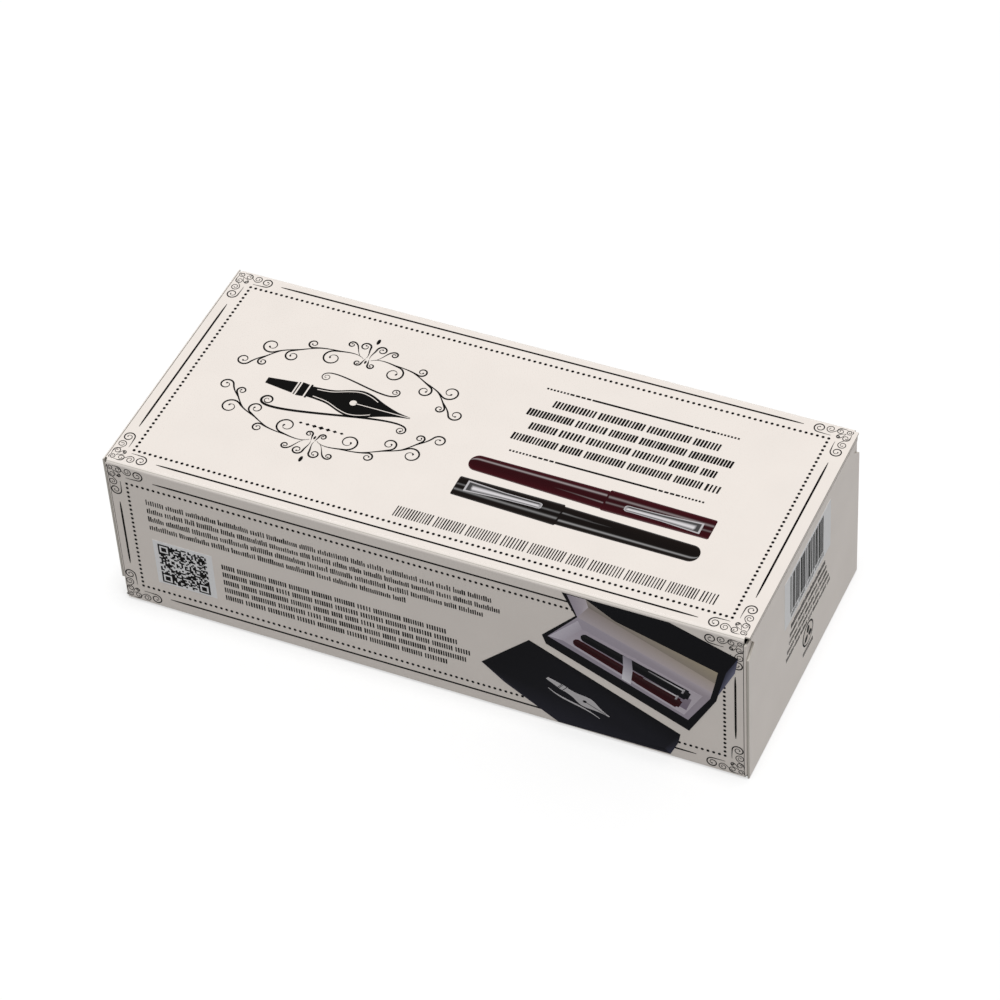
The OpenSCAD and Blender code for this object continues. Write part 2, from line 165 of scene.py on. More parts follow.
class CartonSettings(bpy.types.PropertyGroup):
    board: bpy.props.PointerProperty(type=BoardSettings, name="Board", description="Carton board")
    ink: bpy.props.PointerProperty(type=InkSettings, name="Ink", description="Line printing")
    picture: bpy.props.PointerProperty(type=PictureSettings, name="Pictures",
                                       description="Printed pictures")
    case: bpy.props.PointerProperty(type=CaseSettings, name="Case", description="Gift case")
    pen: bpy.props.PointerProperty(type=PenSettings, name="Pens", description="Pens")
    stage: bpy.props.PointerProperty(type=StageSettings, name="Stage", description="Stage")


def settings():
    """The sizes and colours of this scene's carton."""
    return bpy.context.scene.carton


# Panels, and flat shapes on them


class Panel:
    """A face of the carton. Places on it are in millimetres from its upper left corner."""

    def __init__(self, name, body, middle, right, up, size):
        self.name = name
        self.body = body
        self.size = size
        right, up = Vector(right), Vector(up)
        turn = Matrix((right, up, right.cross(up))).transposed().to_4x4()
        self.place = Matrix.Translation(Vector(middle) * MM) @ turn

    def at(self, x, y, z=0.0):
        """A place on the panel, in metres from its middle."""
        return Vector(((x - self.size[0] / 2) * MM, (self.size[1] / 2 - y) * MM, z))


TOP = Panel("top", "carton", (0, 0, HEIGHT), (1, 0, 0), (0, 1, 0), (WIDTH, DEPTH))
BOTTOM = Panel("bottom", "carton", (0, 0, 0), (1, 0, 0), (0, -1, 0), (WIDTH, DEPTH))
FRONT = Panel("front", "carton", (0, -DEPTH / 2, HEIGHT / 2), (1, 0, 0), (0, 0, 1),
              (WIDTH, HEIGHT))
BACK = Panel("back", "carton", (0, DEPTH / 2, HEIGHT / 2), (-1, 0, 0), (0, 0, 1),
             (WIDTH, HEIGHT))
RIGHT = Panel("right_end", "right_end_panel", (WIDTH / 2, 0, HEIGHT / 2), (0, 1, 0), (0, 0, 1),
              (DEPTH, HEIGHT))
LEFT = Panel("left_end", "left_end_panel", (-WIDTH / 2, 0, HEIGHT / 2), (0, -1, 0), (0, 0, 1),
             (DEPTH, HEIGHT))


def keep(name, mesh, body, material, smooth=False):
    """Makes a mesh a finished piece of the object, riding on a body."""
    if name in bpy.data.objects:
        raise RuntimeError(f"{name} is made twice")
    piece = bpy.data.objects.new(name, mesh)
    bpy.context.scene.collection.objects.link(piece)
    mesh.materials.clear()
    mesh.materials.append(material)
    for face in mesh.polygons:
        face.material_index = 0
        face.use_smooth = smooth
    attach(piece, body)
    return piece


def turned_left(points):
    """The points in the order that runs anticlockwise."""
    area = sum(a[0] * b[1] - b[0] * a[1] for a, b in zip(points, points[1:] + points[:1]))
    return points if area > 0 else points[::-1]


class Plates:
    """Closed plates of ink on one panel, gathered in one mesh."""

    def __init__(self, panel, layers=1):
        self.panel = panel
        self.mesh = bmesh.new()
        self.tone = self.mesh.verts.layers.float_color.new("print")
        self.height = settings().ink.thickness * (0.4 + 0.6 * layers)

    def vertex(self, place, z, colour):
        """A corner of a plate at a height over the panel, with its colour."""
        v = self.mesh.verts.new(self.panel.at(place[0], place[1], z))
        v[self.tone] = opaque(colour or (0, 0, 0))
        return v

    def plate(self, points, colours=None):
        """A plate from its outline, with one colour or a colour for each point."""
        flipped = [(p[0], -p[1], i) for i, p in enumerate(points)]
        order = [p[2] for p in turned_left(flipped)]
        if not colours or isinstance(colours[0], float):
            colours = [colours] * len(points)
        low, high = [[self.vertex(points[i], z, colours[i]) for i in order]
                     for z in (0, self.height)]
        self.mesh.faces.new(high)
        self.mesh.faces.new(low[::-1])
        for i in range(len(order)):
            j = (i + 1) % len(order)
            self.mesh.faces.new((low[i], low[j], high[j], high[i]))

    def strip(self, rows, tones):
        """A plate from rows of points across it, with the colour of every point."""
        low, high = [[[self.vertex(p, z, c) for p, c in zip(row, colours)]
                      for row, colours in zip(rows, tones)] for z in (0, self.height)]
        last, side = len(rows) - 1, len(rows[0]) - 1
        faces = []
        for i in range(last):
            for k in range(side):
                faces.append((high[i][k], high[i + 1][k], high[i + 1][k + 1], high[i][k + 1]))
                faces.append((low[i][k + 1], low[i + 1][k + 1], low[i + 1][k], low[i][k]))
            for k, a, b in ((0, low, high), (side, high, low)):
                faces.append((a[i][k], a[i + 1][k], b[i + 1][k], b[i][k]))
        for i, a, b in ((0, high, low), (last, low, high)):
            for k in range(side):
                faces.append((a[i][k], a[i][k + 1], b[i][k + 1], b[i][k]))
        made = [self.mesh.faces.new(f) for f in faces]
        bmesh.ops.recalc_face_normals(self.mesh, faces=made)

    def piece(self, name, material):
        """The gathered plates as one finished piece."""
        mesh = bpy.data.meshes.new(name)
        self.mesh.to_mesh(mesh)
        self.mesh.free()
        mesh.transform(self.panel.place)
        return keep(f"{self.panel.name}_{name}", mesh, self.panel.body, material)


def oblong(x0, y0, x1, y1):
    """Corners of a rectangle from two of them."""
    return [(x0, y0), (x1, y0), (x1, y1), (x0, y1)]


def circle(x, y, radius, count):
    """Points of a circle round a place."""
    turns = [math.tau * i / count for i in range(count)]
    return [(x + radius * math.cos(a), y + radius * math.sin(a)) for a in turns]


def smooth_through(points, steps=8):
    """A smooth line through points, by rounding each stretch between its neighbours."""
    ends = [points[0], *points, points[-1]]
    line = []
    for a, b, c, d in zip(ends, ends[1:], ends[2:], ends[3:]):
        for i in range(steps):
            t = i / steps
            line.append(tuple(
                0.5 * (2 * b[k] + (c[k] - a[k]) * t
                       + (2 * a[k] - 5 * b[k] + 4 * c[k] - d[k]) * t ** 2
                       + (3 * b[k] - a[k] - 3 * c[k] + d[k]) * t ** 3) for k in (0, 1)))
    return line + [tuple(points[-1])]


# Node trees for what repeats or follows a path


def new_tree(name, sizes):
    """An empty geometry tree with its named inputs."""
    tree = bpy.data.node_groups.new(name, "GeometryNodeTree")
    tree.interface.new_socket("Geometry", in_out="INPUT", socket_type="NodeSocketGeometry")
    for label, kind in sizes:
        tree.interface.new_socket(label, in_out="INPUT", socket_type=f"NodeSocket{kind}")
    tree.interface.new_socket("Geometry", in_out="OUTPUT", socket_type="NodeSocketGeometry")
    entry = tree.nodes.new("NodeGroupInput")
    return tree, entry.outputs


def end_tree(tree, geometry, ink):
    """Ends a tree in real meshes of one material."""
    real = add(tree, "GeometryNodeRealizeInstances", {"Geometry": geometry})
    inked = add(tree, "GeometryNodeSetMaterial", {"Geometry": real, "Material": ink})
    add(tree, "NodeGroupOutput", {"Geometry": inked})


def dotted_frame_tree():
    """Round dots at even steps along the sides of a rectangle."""
    tree, given = new_tree("dotted_frame", [
        ("Width", "Float"), ("Height", "Float"), ("Pitch", "Float"), ("Dot Diameter", "Float"),
        ("Ink Thickness", "Float"), ("Ink", "Material")])
    counts = []
    for side in ("Width", "Height"):
        steps = add(tree, "ShaderNodeMath", {0: given[side], 1: given["Pitch"]},
                    operation="DIVIDE")
        whole = add(tree, "ShaderNodeMath", {0: steps}, operation="ROUND")
        counts.append(add(tree, "ShaderNodeMath", {0: whole, 1: 1.0}, operation="ADD"))
    grid = add(tree, "GeometryNodeMeshGrid", {
        "Size X": given["Width"], "Size Y": given["Height"],
        "Vertices X": counts[0], "Vertices Y": counts[1]})
    spot = add(tree, "ShaderNodeSeparateXYZ", {0: add(tree, "GeometryNodeInputPosition")})
    inside = []
    for axis, side in ((0, "Width"), (1, "Height")):
        far = add(tree, "ShaderNodeMath", {0: spot.outputs[axis]}, operation="ABSOLUTE")
        rim = add(tree, "ShaderNodeMath", {0: given[side], 1: given["Pitch"]},
                  operation="SUBTRACT")
        half = add(tree, "ShaderNodeMath", {0: rim, 1: 0.5}, operation="MULTIPLY")
        inside.append(add(tree, "FunctionNodeCompare", {0: far, 1: half}, operation="LESS_THAN"))
    hollow = add(tree, "FunctionNodeBooleanMath", {0: inside[0], 1: inside[1]}, operation="AND")
    rim_points = add(tree, "GeometryNodeDeleteGeometry",
                     {"Geometry": grid.outputs["Mesh"], "Selection": hollow}, domain="POINT")
    radius = add(tree, "ShaderNodeMath", {0: given["Dot Diameter"], 1: 0.5}, operation="MULTIPLY")
    dot = add(tree, "GeometryNodeMeshCylinder", {
        "Vertices": 10, "Radius": radius, "Depth": given["Ink Thickness"]})
    lift = add(tree, "ShaderNodeMath", {0: given["Ink Thickness"], 1: 0.5}, operation="MULTIPLY")
    rise = add(tree, "ShaderNodeCombineXYZ", {"Z": lift})
    raised = add(tree, "GeometryNodeTransform",
                 {"Geometry": dot.outputs["Mesh"], "Translation": rise})
    dots = add(tree, "GeometryNodeInstanceOnPoints", {"Points": rim_points, "Instance": raised})
    end_tree(tree, dots, given["Ink"])
    return tree


def tally_rows_tree():
    """Upright marks of uneven height and width in groups along each edge of a mesh."""
    tree, given = new_tree("tally_rows", [
        ("Pitch", "Float"), ("Mark Width", "Float"), ("Width Spread", "Float"),
        ("Height", "Float"), ("Height Spread", "Float"), ("Lean", "Float"),
        ("Seed", "Int"), ("Ink Thickness", "Float"), ("Ink", "Material")])
    path = add(tree, "GeometryNodeMeshToCurve", {"Mesh": given["Geometry"]})
    steps = add(tree, "GeometryNodeResampleCurve",
                {"Curve": path, "Length": given["Pitch"]}, mode="LENGTH")
    points = add(tree, "GeometryNodeCurveToPoints", {"Curve": steps}, mode="EVALUATED")
    scale = []
    for size, spread, shift in (("Mark Width", "Width Spread", 1), ("Height", "Height Spread", 2)):
        seed = add(tree, "ShaderNodeMath", {0: given["Seed"], 1: float(shift)}, operation="ADD")
        chance = add(tree, "FunctionNodeRandomValue", {"Seed": seed}, data_type="FLOAT")
        part = add(tree, "ShaderNodeMath", {0: chance, 1: given[spread]}, operation="MULTIPLY")
        rest = add(tree, "ShaderNodeMath", {0: 1.0, 1: part}, operation="SUBTRACT")
        scale.append(add(tree, "ShaderNodeMath", {0: rest, 1: given[size]}, operation="MULTIPLY"))
    block = add(tree, "GeometryNodeMeshCube", {"Size": (1, 1, 1)})
    seated = add(tree, "GeometryNodeTransform",
                 {"Geometry": block.outputs["Mesh"], "Translation": (0, 0.5, 0.5)})
    shape = add(tree, "ShaderNodeCombineXYZ",
                {"X": scale[0], "Y": scale[1], "Z": given["Ink Thickness"]})
    back = add(tree, "ShaderNodeMath", {0: given["Lean"], 1: -1.0}, operation="MULTIPLY")
    turn = add(tree, "ShaderNodeCombineXYZ", {"Z": back})
    marks = add(tree, "GeometryNodeInstanceOnPoints", {
        "Points": points.outputs["Points"], "Instance": seated, "Rotation": turn,
        "Scale": shape})
    end_tree(tree, marks, given["Ink"])
    return tree


def pen_strokes_tree():
    """A flat stroke along each line, as broad at each point as its nib_width says."""
    tree, given = new_tree("pen_strokes", [("Ink Thickness", "Float"), ("Ink", "Material")])
    path = add(tree, "GeometryNodeMeshToCurve", {"Mesh": given["Geometry"]})
    level = add(tree, "GeometryNodeSetCurveNormal", {"Curve": path}, mode="Z_UP")
    width = add(tree, "GeometryNodeInputNamedAttribute", {"Name": "nib_width"},
                data_type="FLOAT")
    sized = add(tree, "GeometryNodeSetCurveRadius", {"Curve": level, "Radius": width.outputs[0]})
    nib = add(tree, "GeometryNodeCurvePrimitiveQuadrilateral", {"Width": 1.0, "Height": 0.1})
    tube = add(tree, "GeometryNodeCurveToMesh", {
        "Curve": sized, "Profile Curve": nib, "Scale": add(tree, "GeometryNodeInputRadius"),
        "Fill Caps": True})
    spot = add(tree, "ShaderNodeSeparateXYZ", {0: add(tree, "GeometryNodeInputPosition")})
    upper = add(tree, "ShaderNodeMath", {0: spot.outputs["Z"], 1: 0.0},
                operation="GREATER_THAN")
    height = add(tree, "ShaderNodeMath", {0: upper, 1: given["Ink Thickness"]},
                 operation="MULTIPLY")
    flat = add(tree, "ShaderNodeCombineXYZ",
               {"X": spot.outputs["X"], "Y": spot.outputs["Y"], "Z": height})
    pressed = add(tree, "GeometryNodeSetPosition", {"Geometry": tube, "Position": flat})
    end_tree(tree, pressed, given["Ink"])
    return tree


def code_squares_tree():
    """Squares at random places of a square grid."""
    tree, given = new_tree("code_squares", [
        ("Side", "Float"), ("Count", "Int"), ("Filled Share", "Float"), ("Seed", "Int"),
        ("Ink Thickness", "Float"), ("Ink", "Material")])
    cell = add(tree, "ShaderNodeMath", {0: given["Side"], 1: given["Count"]}, operation="DIVIDE")
    span = add(tree, "ShaderNodeMath", {0: given["Side"], 1: cell}, operation="SUBTRACT")
    grid = add(tree, "GeometryNodeMeshGrid", {
        "Size X": span, "Size Y": span, "Vertices X": given["Count"],
        "Vertices Y": given["Count"]})
    bare = add(tree, "ShaderNodeMath", {0: 1.0, 1: given["Filled Share"]}, operation="SUBTRACT")
    left_out = add(tree, "FunctionNodeRandomValue",
                   {"Probability": bare, "Seed": given["Seed"]}, data_type="BOOLEAN")
    filled = add(tree, "GeometryNodeDeleteGeometry",
                 {"Geometry": grid.outputs["Mesh"], "Selection": left_out}, domain="POINT")
    block = add(tree, "GeometryNodeMeshCube", {"Size": (1, 1, 1)})
    seated = add(tree, "GeometryNodeTransform",
                 {"Geometry": block.outputs["Mesh"], "Translation": (0, 0, 0.5)})
    shape = add(tree, "ShaderNodeCombineXYZ",
                {"X": cell, "Y": cell, "Z": given["Ink Thickness"]})
    squares = add(tree, "GeometryNodeInstanceOnPoints",
                  {"Points": filled, "Instance": seated, "Scale": shape})
    end_tree(tree, squares, given["Ink"])
    return tree


def tree_for(make):
    """The tree that a function makes, made once."""
    name = make.__name__.removesuffix("_tree")
    return bpy.data.node_groups.get(name) or make()


def grown(panel, name, make, inputs, start=None, middle=(0, 0)):
    """Grows a tree's result on a panel and keeps it as a plain mesh."""
    tree = tree_for(make)
    holder = bpy.data.objects.new("grown", start or bpy.data.meshes.new("start"))
    bpy.context.scene.collection.objects.link(holder)
    modifier = holder.modifiers.new("grow", "NODES")
    modifier.node_group = tree
    for item in tree.interface.items_tree:
        if item.in_out == "INPUT" and item.name in inputs:
            modifier[item.identifier] = inputs[item.name]
    holder.update_tag()
    seen = holder.evaluated_get(bpy.context.evaluated_depsgraph_get())
    mesh = bpy.data.meshes.new_from_object(seen)
    bpy.data.objects.remove(holder)
    if not mesh.polygons:
        raise RuntimeError(f"{name} on the {panel.name} came out empty")
    mesh.name = name
    mesh.transform(panel.place @ Matrix.Translation((middle[0], middle[1], 0)))
    return keep(f"{panel.name}_{name}", mesh, panel.body, inputs["Ink"])


def line_mesh(panel, lines, widths=None):
    """A mesh of open lines on a panel, with the stroke's width at each point."""
    mesh = bpy.data.meshes.new("lines")
    points, edges, broad = [], [], []
    for i, line in enumerate(lines):
        first = len(points)
        points += [panel.at(*p) for p in line]
        edges += [(first + k, first + k + 1) for k in range(len(line) - 1)]
        broad += [w * MM for w in (widths[i] if widths else [0] * len(line))]
    mesh.from_pydata(points, edges, [])
    attribute = mesh.attributes.new("nib_width", "FLOAT", "POINT")
    attribute.data.foreach_set("value", broad)
    return mesh


# Materials


def empty_material(name):
    """A material and its empty tree, with no tree where the material was made before."""
    made = bpy.data.materials.get(name)
    if made:
        return made, None
    material = bpy.data.materials.new(name)
    material.use_nodes = True
    material.node_tree.nodes.clear()
    return material, material.node_tree


def close_material(tree, inputs):
    """Ends a material in one surface shader."""
    surface = add(tree, "ShaderNodeBsdfPrincipled", inputs)
    add(tree, "ShaderNodeOutputMaterial", {"Surface": surface.outputs[0]})


def flap_side(tree, place, outward):
    """Where a flap is coated, as its face points outward."""
    way = add(tree, "ShaderNodeVectorMath", {
        0: place.outputs["Normal"], 1: Vector(outward).normalized()}, operation="DOT_PRODUCT")
    return add(tree, "ShaderNodeMath", {0: way.outputs["Value"], 1: 0.3},
               operation="GREATER_THAN")


def sleeve_sides(tree, place, clouds):
    """Where the sleeve is coated, which is outside and not on a cut edge, and where the coat
    is rubbed, which is in patches along the long folds."""
    fold = settings().board.fold
    spot = add(tree, "ShaderNodeSeparateXYZ", {0: place.outputs["Object"]})
    facing = add(tree, "ShaderNodeSeparateXYZ", {0: place.outputs["Normal"]})
    middle = add(tree, "ShaderNodeMath", {0: spot.outputs["Z"], 1: HEIGHT * MM / 2},
                 operation="SUBTRACT")
    outer, rims = [], []
    for far, half in ((spot.outputs["Y"], DEPTH * MM / 2), (middle, HEIGHT * MM / 2)):
        size = add(tree, "ShaderNodeMath", {0: far}, operation="ABSOLUTE")
        outer.append(add(tree, "ShaderNodeMath", {0: size, 1: half - 0.9 * BOARD * MM},
                         operation="GREATER_THAN"))
        rims.append(add(tree, "ShaderNodeMapRange", {
            "Value": size, "From Min": half - 1.6 * fold, "From Max": half,
            "To Min": 0.0, "To Max": 1.0}))
    side = add(tree, "ShaderNodeMath", {0: outer[0], 1: outer[1]}, operation="MAXIMUM")
    cut = add(tree, "ShaderNodeMath", {0: facing.outputs["X"]}, operation="ABSOLUTE")
    whole = add(tree, "ShaderNodeMath", {0: cut, 1: 0.5}, operation="LESS_THAN")
    coated = add(tree, "ShaderNodeMath", {0: side, 1: whole}, operation="MULTIPLY")
    edge = add(tree, "ShaderNodeMath", {0: rims[0], 1: rims[1]}, operation="MULTIPLY")
    rub = add(tree, "ShaderNodeMapRange", {
        "Value": clouds.outputs["Fac"], "From Min": 0.35, "From Max": 0.6})
    return coated, add(tree, "ShaderNodeMath", {0: edge, 1: rub}, operation="MULTIPLY")


def coated_board(name, outward=None):
    """Folding boxboard: a satin clay coat on the printed side, grey-cream fibres on the back.
    The coat reads as even and faintly cloudy, is rubbed pale along the folds, and a cut edge
    shows the felted core. outward points away from the coated side of a flap."""
    look = settings().board
    material, tree = empty_material(name)
    if tree is None:
        return material
    place = add(tree, "ShaderNodeTexCoord")
    clouds = add(tree, "ShaderNodeTexNoise", {
        "Vector": place.outputs["Object"], "Scale": 1 / look.cloud, "Detail": 4.0})
    fibres = add(tree, "ShaderNodeTexNoise", {
        "Vector": place.outputs["Object"], "Scale": 1 / look.fibre, "Detail": 3.0,
        "Roughness": 0.6})
    pale = add(tree, "ShaderNodeMix", {
        0: add(tree, "ShaderNodeMapRange", {
            "Value": clouds.outputs["Fac"], "From Min": 0.3, "From Max": 0.7}),
        6: opaque(look.coat), 7: opaque([c * 0.97 for c in look.coat])}, data_type="RGBA")
    coat = pale.outputs[2]
    if outward:
        coated = flap_side(tree, place, outward)
    else:
        coated, worn = sleeve_sides(tree, place, clouds)
        coat = add(tree, "ShaderNodeMix", {0: worn, 6: coat, 7: opaque(look.worn)},
                   data_type="RGBA").outputs[2]
    bare = add(tree, "ShaderNodeMix", {
        0: fibres.outputs["Fac"], 6: opaque(look.back),
        7: opaque([c * 0.82 for c in look.back])}, data_type="RGBA")
    colour = add(tree, "ShaderNodeMix", {0: coated, 6: bare.outputs[2], 7: coat},
                 data_type="RGBA")
    satin = add(tree, "ShaderNodeMapRange", {
        "Value": clouds.outputs["Fac"], "To Min": 0.44, "To Max": 0.54})
    rough = add(tree, "ShaderNodeMix", {0: coated, 2: 0.88, 3: satin}, data_type="FLOAT")
    depth = add(tree, "ShaderNodeMapRange", {
        "Value": coated, "To Min": 0.00002, "To Max": 0.000003})
    relief = add(tree, "ShaderNodeBump", {
        "Strength": 0.6, "Distance": depth, "Height": fibres.outputs["Fac"]})
    close_material(tree, {
        "Base Color": colour.outputs[2], "Roughness": rough.outputs[0], "Normal": relief,
        "Specular IOR Level": 0.25})
    return material


def offset_ink(name, colour):
    """Offset ink under the coat's varnish: near black, a little uneven, satin."""
    material, tree = empty_material(name)
    if tree is None:
        return material
    place = add(tree, "ShaderNodeTexCoord")
    cover = add(tree, "ShaderNodeTexNoise", {
        "Vector": place.outputs["Object"], "Scale": 1 / (0.8 * MM), "Detail": 3.0})
    tone = add(tree, "ShaderNodeMix", {
        0: cover.outputs["Fac"], 6: opaque(colour),
        7: opaque([c * 0.9 + 0.001 for c in colour])}, data_type="RGBA")
    rough = add(tree, "ShaderNodeMapRange", {
        "Value": cover.outputs["Fac"], "To Min": 0.42, "To Max": 0.56})
    close_material(tree, {"Base Color": tone.outputs[2], "Roughness": rough,
                          "Specular IOR Level": 0.03})
    return material


def picture_print():
    """Four-colour halftone under varnish: the piece's own tones, faintly screened."""
    material, tree = empty_material("halftone_picture")
    if tree is None:
        return material
    place = add(tree, "ShaderNodeTexCoord")
    tone = add(tree, "ShaderNodeAttribute", attribute_name="print", attribute_type="GEOMETRY")
    screen = add(tree, "ShaderNodeTexNoise", {
        "Vector": place.outputs["Object"], "Scale": 1 / (0.5 * MM), "Detail": 2.0})
    shade = add(tree, "ShaderNodeMapRange", {
        "Value": screen.outputs["Fac"], "To Min": 0.94, "To Max": 1.06})
    colour = add(tree, "ShaderNodeVectorMath", {0: tone.outputs["Color"]}, operation="SCALE")
    tree.links.new(shade.outputs[0], colour.inputs["Scale"])
    rough = add(tree, "ShaderNodeMapRange", {
        "Value": screen.outputs["Fac"], "To Min": 0.38, "To Max": 0.5})
    close_material(tree, {"Base Color": colour.outputs[0], "Roughness": rough,
                          "Specular IOR Level": 0.03})
    return material


def leatherette():
    """Black polyurethane leatherette, calender-embossed: fine pebble grain, dull sheen, with
    painted shade in the grain's hollows and a painted highlight on its crests.
    """
    look = settings().case
    material, tree = empty_material("embossed_leatherette")
    if tree is None:
        return material
    place = add(tree, "ShaderNodeTexCoord")
    warp = add(tree, "ShaderNodeTexNoise", {
        "Vector": place.outputs["Object"], "Scale": 1 / (3 * look.grain), "Detail": 2.0})
    push = add(tree, "ShaderNodeVectorMath", {0: warp.outputs["Color"]}, operation="SCALE")
    push.inputs["Scale"].default_value = 0.6 * look.grain
    moved = add(tree, "ShaderNodeVectorMath", {0: place.outputs["Object"], 1: push},
                operation="ADD")
    pebbles = add(tree, "ShaderNodeTexVoronoi", {
        "Vector": moved, "Scale": 1 / look.grain}, feature="F1")
    crest = add(tree, "ShaderNodeMapRange", {
        "Value": pebbles.outputs["Distance"], "From Min": 0.1, "From Max": 0.6,
        "To Min": 1.0, "To Max": 0.0})
    # Painted shade and painted highlight: the colour is darker in the grain's hollows and lighter
    # on its crests
    tone = add(tree, "ShaderNodeMix", {
        0: crest, 6: opaque([c * 0.6 for c in look.leatherette]),
        7: opaque([c * 1.25 for c in look.leatherette])}, data_type="RGBA")
    rough = add(tree, "ShaderNodeMapRange", {"Value": crest, "To Min": 0.66, "To Max": 0.48})
    relief = add(tree, "ShaderNodeBump", {
        "Strength": 0.7, "Distance": 0.08 * MM, "Height": crest})
    close_material(tree, {
        "Base Color": tone.outputs[2], "Roughness": rough, "Normal": relief})
    return material


def satin(name, colour, along="X"):
    """Polyester satin: long floats of thread give it a soft streaked sheen one way."""
    look = settings().case
    material, tree = empty_material(name)
    if tree is None:
        return material
    place = add(tree, "ShaderNodeTexCoord")
    # Real floats are 0.1 mm apart, and are drawn coarser so that they show. The texture's
    # bands are 0.314 apart at scale 1
    threads = add(tree, "ShaderNodeTexWave", {
        "Vector": place.outputs["Object"], "Scale": 0.314 / look.thread, "Distortion": 0.4,
        "Detail": 1.0}, wave_type="BANDS", bands_direction=along)
    folds = add(tree, "ShaderNodeTexNoise", {
        "Vector": place.outputs["Object"], "Scale": 1 / (9 * MM), "Detail": 2.0})
    slubs = add(tree, "ShaderNodeTexNoise", {
        "Vector": place.outputs["Object"], "Scale": 1 / (1.2 * MM), "Detail": 3.0})
    tone = add(tree, "ShaderNodeMix", {
        0: slubs.outputs["Fac"], 6: opaque(colour), 7: opaque([c * 0.86 for c in colour])},
        data_type="RGBA")
    rough = add(tree, "ShaderNodeMapRange", {
        "Value": folds.outputs["Fac"], "To Min": 0.38, "To Max": 0.58})
    weave = add(tree, "ShaderNodeBump", {
        "Strength": 0.5, "Distance": 0.03 * MM, "Height": threads.outputs["Fac"]})
    relief = add(tree, "ShaderNodeBump", {
        "Strength": 0.4, "Distance": 0.5 * MM, "Height": folds.outputs["Fac"],
        "Normal": weave})
    close_material(tree, {
        "Base Color": tone.outputs[2], "Roughness": rough, "Normal": relief,
        "Sheen Weight": 0.35, "Sheen Roughness": 0.4})
    return material


def lacquer(name, colour):
    """Brass tube under sprayed and polished lacquer: deep colour below a clear gloss."""
    material, tree = empty_material(name)
    if tree is None:
        return material
    place = add(tree, "ShaderNodeTexCoord")
    depth = add(tree, "ShaderNodeTexNoise", {
        "Vector": place.outputs["Object"], "Scale": 1 / (4 * MM), "Detail": 2.0})
    peel = add(tree, "ShaderNodeTexNoise", {
        "Vector": place.outputs["Object"], "Scale": 1 / (0.9 * MM), "Detail": 1.0})
    tone = add(tree, "ShaderNodeMix", {
        0: depth.outputs["Fac"], 6: opaque(colour), 7: opaque([c * 0.8 for c in colour])},
        data_type="RGBA")
    rough = add(tree, "ShaderNodeMapRange", {
        "Value": depth.outputs["Fac"], "To Min": 0.2, "To Max": 0.3})
    relief = add(tree, "ShaderNodeBump", {
        "Strength": 0.12, "Distance": 0.01 * MM, "Height": peel.outputs["Fac"]})
    close_material(tree, {
        "Base Color": tone.outputs[2], "Roughness": rough, "Normal": relief,
        "Coat Weight": 1.0, "Coat Roughness": 0.04})
    return material


def polished_steel():
    """Stainless steel, stamped and polished, with fine wipe marks along its length."""
    look = settings().pen
    material, tree = empty_material("polished_steel")
    if tree is None:
        return material
    place = add(tree, "ShaderNodeTexCoord")
    drawn = add(tree, "ShaderNodeMapping", {
        "Vector": place.outputs["Object"], "Scale": (0.06, 1.0, 1.0)})
    wipes = add(tree, "ShaderNodeTexNoise", {
        "Vector": drawn, "Scale": 1 / (0.15 * MM), "Detail": 3.0})
    tone = add(tree, "ShaderNodeMix", {
        0: wipes.outputs["Fac"], 6: opaque(look.steel), 7: opaque([c * 0.88 for c in look.steel])},
        data_type="RGBA")
    rough = add(tree, "ShaderNodeMapRange", {
        "Value": wipes.outputs["Fac"], "To Min": 0.12, "To Max": 0.26})
    relief = add(tree, "ShaderNodeBump", {
        "Strength": 0.15, "Distance": 0.005 * MM, "Height": wipes.outputs["Fac"]})
    close_material(tree, {
        "Base Color": tone.outputs[2], "Metallic": 1.0, "Roughness": rough, "Normal": relief})
    return material


def moulded_plastic():
    """Black ABS from a spark-eroded mould: even, satin, with a very fine matt grain."""
    look = settings().pen
    material, tree = empty_material("moulded_abs")
    if tree is None:
        return material
    place = add(tree, "ShaderNodeTexCoord")
    grit = add(tree, "ShaderNodeTexNoise", {
        "Vector": place.outputs["Object"], "Scale": 1 / (0.12 * MM), "Detail": 2.0})
    tone = add(tree, "ShaderNodeMix", {
        0: grit.outputs["Fac"], 6: opaque(look.plastic),
        7: opaque([c * 1.3 for c in look.plastic])}, data_type="RGBA")
    rough = add(tree, "ShaderNodeMapRange", {
        "Value": grit.outputs["Fac"], "To Min": 0.36, "To Max": 0.5})
    relief = add(tree, "ShaderNodeBump", {
        "Strength": 0.3, "Distance": 0.008 * MM, "Height": grit.outputs["Fac"]})
    close_material(tree, {
        "Base Color": tone.outputs[2], "Roughness": rough, "Normal": relief})
    return material


def dress(node, material):
    """Gives a CAD node its material."""
    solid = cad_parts[node]
    if not solid.material_slots:
        solid.data.materials.append(material)
    for held in solid.material_slots:
        held.material = material


def black_ink():
    """The black of all line printing."""
    return offset_ink("black_offset_ink", settings().ink.black)


def coat_tone():
    """Bare coat inside black print, laid on it as an ink of the coat's colour."""
    return offset_ink("unprinted_coat", settings().board.coat)


# Scrolls and other penned lines


def spiral(middle, radius, angle, way, turns=1.35, close=0.16):
    """Points of a spiral from its eye out to its edge, where it ends at an angle."""
    points_per_turn = 22
    count = int(points_per_turn * turns)
    points = []
    for i in range(count + 1):
        t = i / count
        a = math.radians(angle) - way * (1 - t) * turns * math.tau
        r = radius * (close + (1 - close) * t ** 0.8)
        points.append((middle[0] + r * math.cos(a), middle[1] + r * math.sin(a)))
    return points


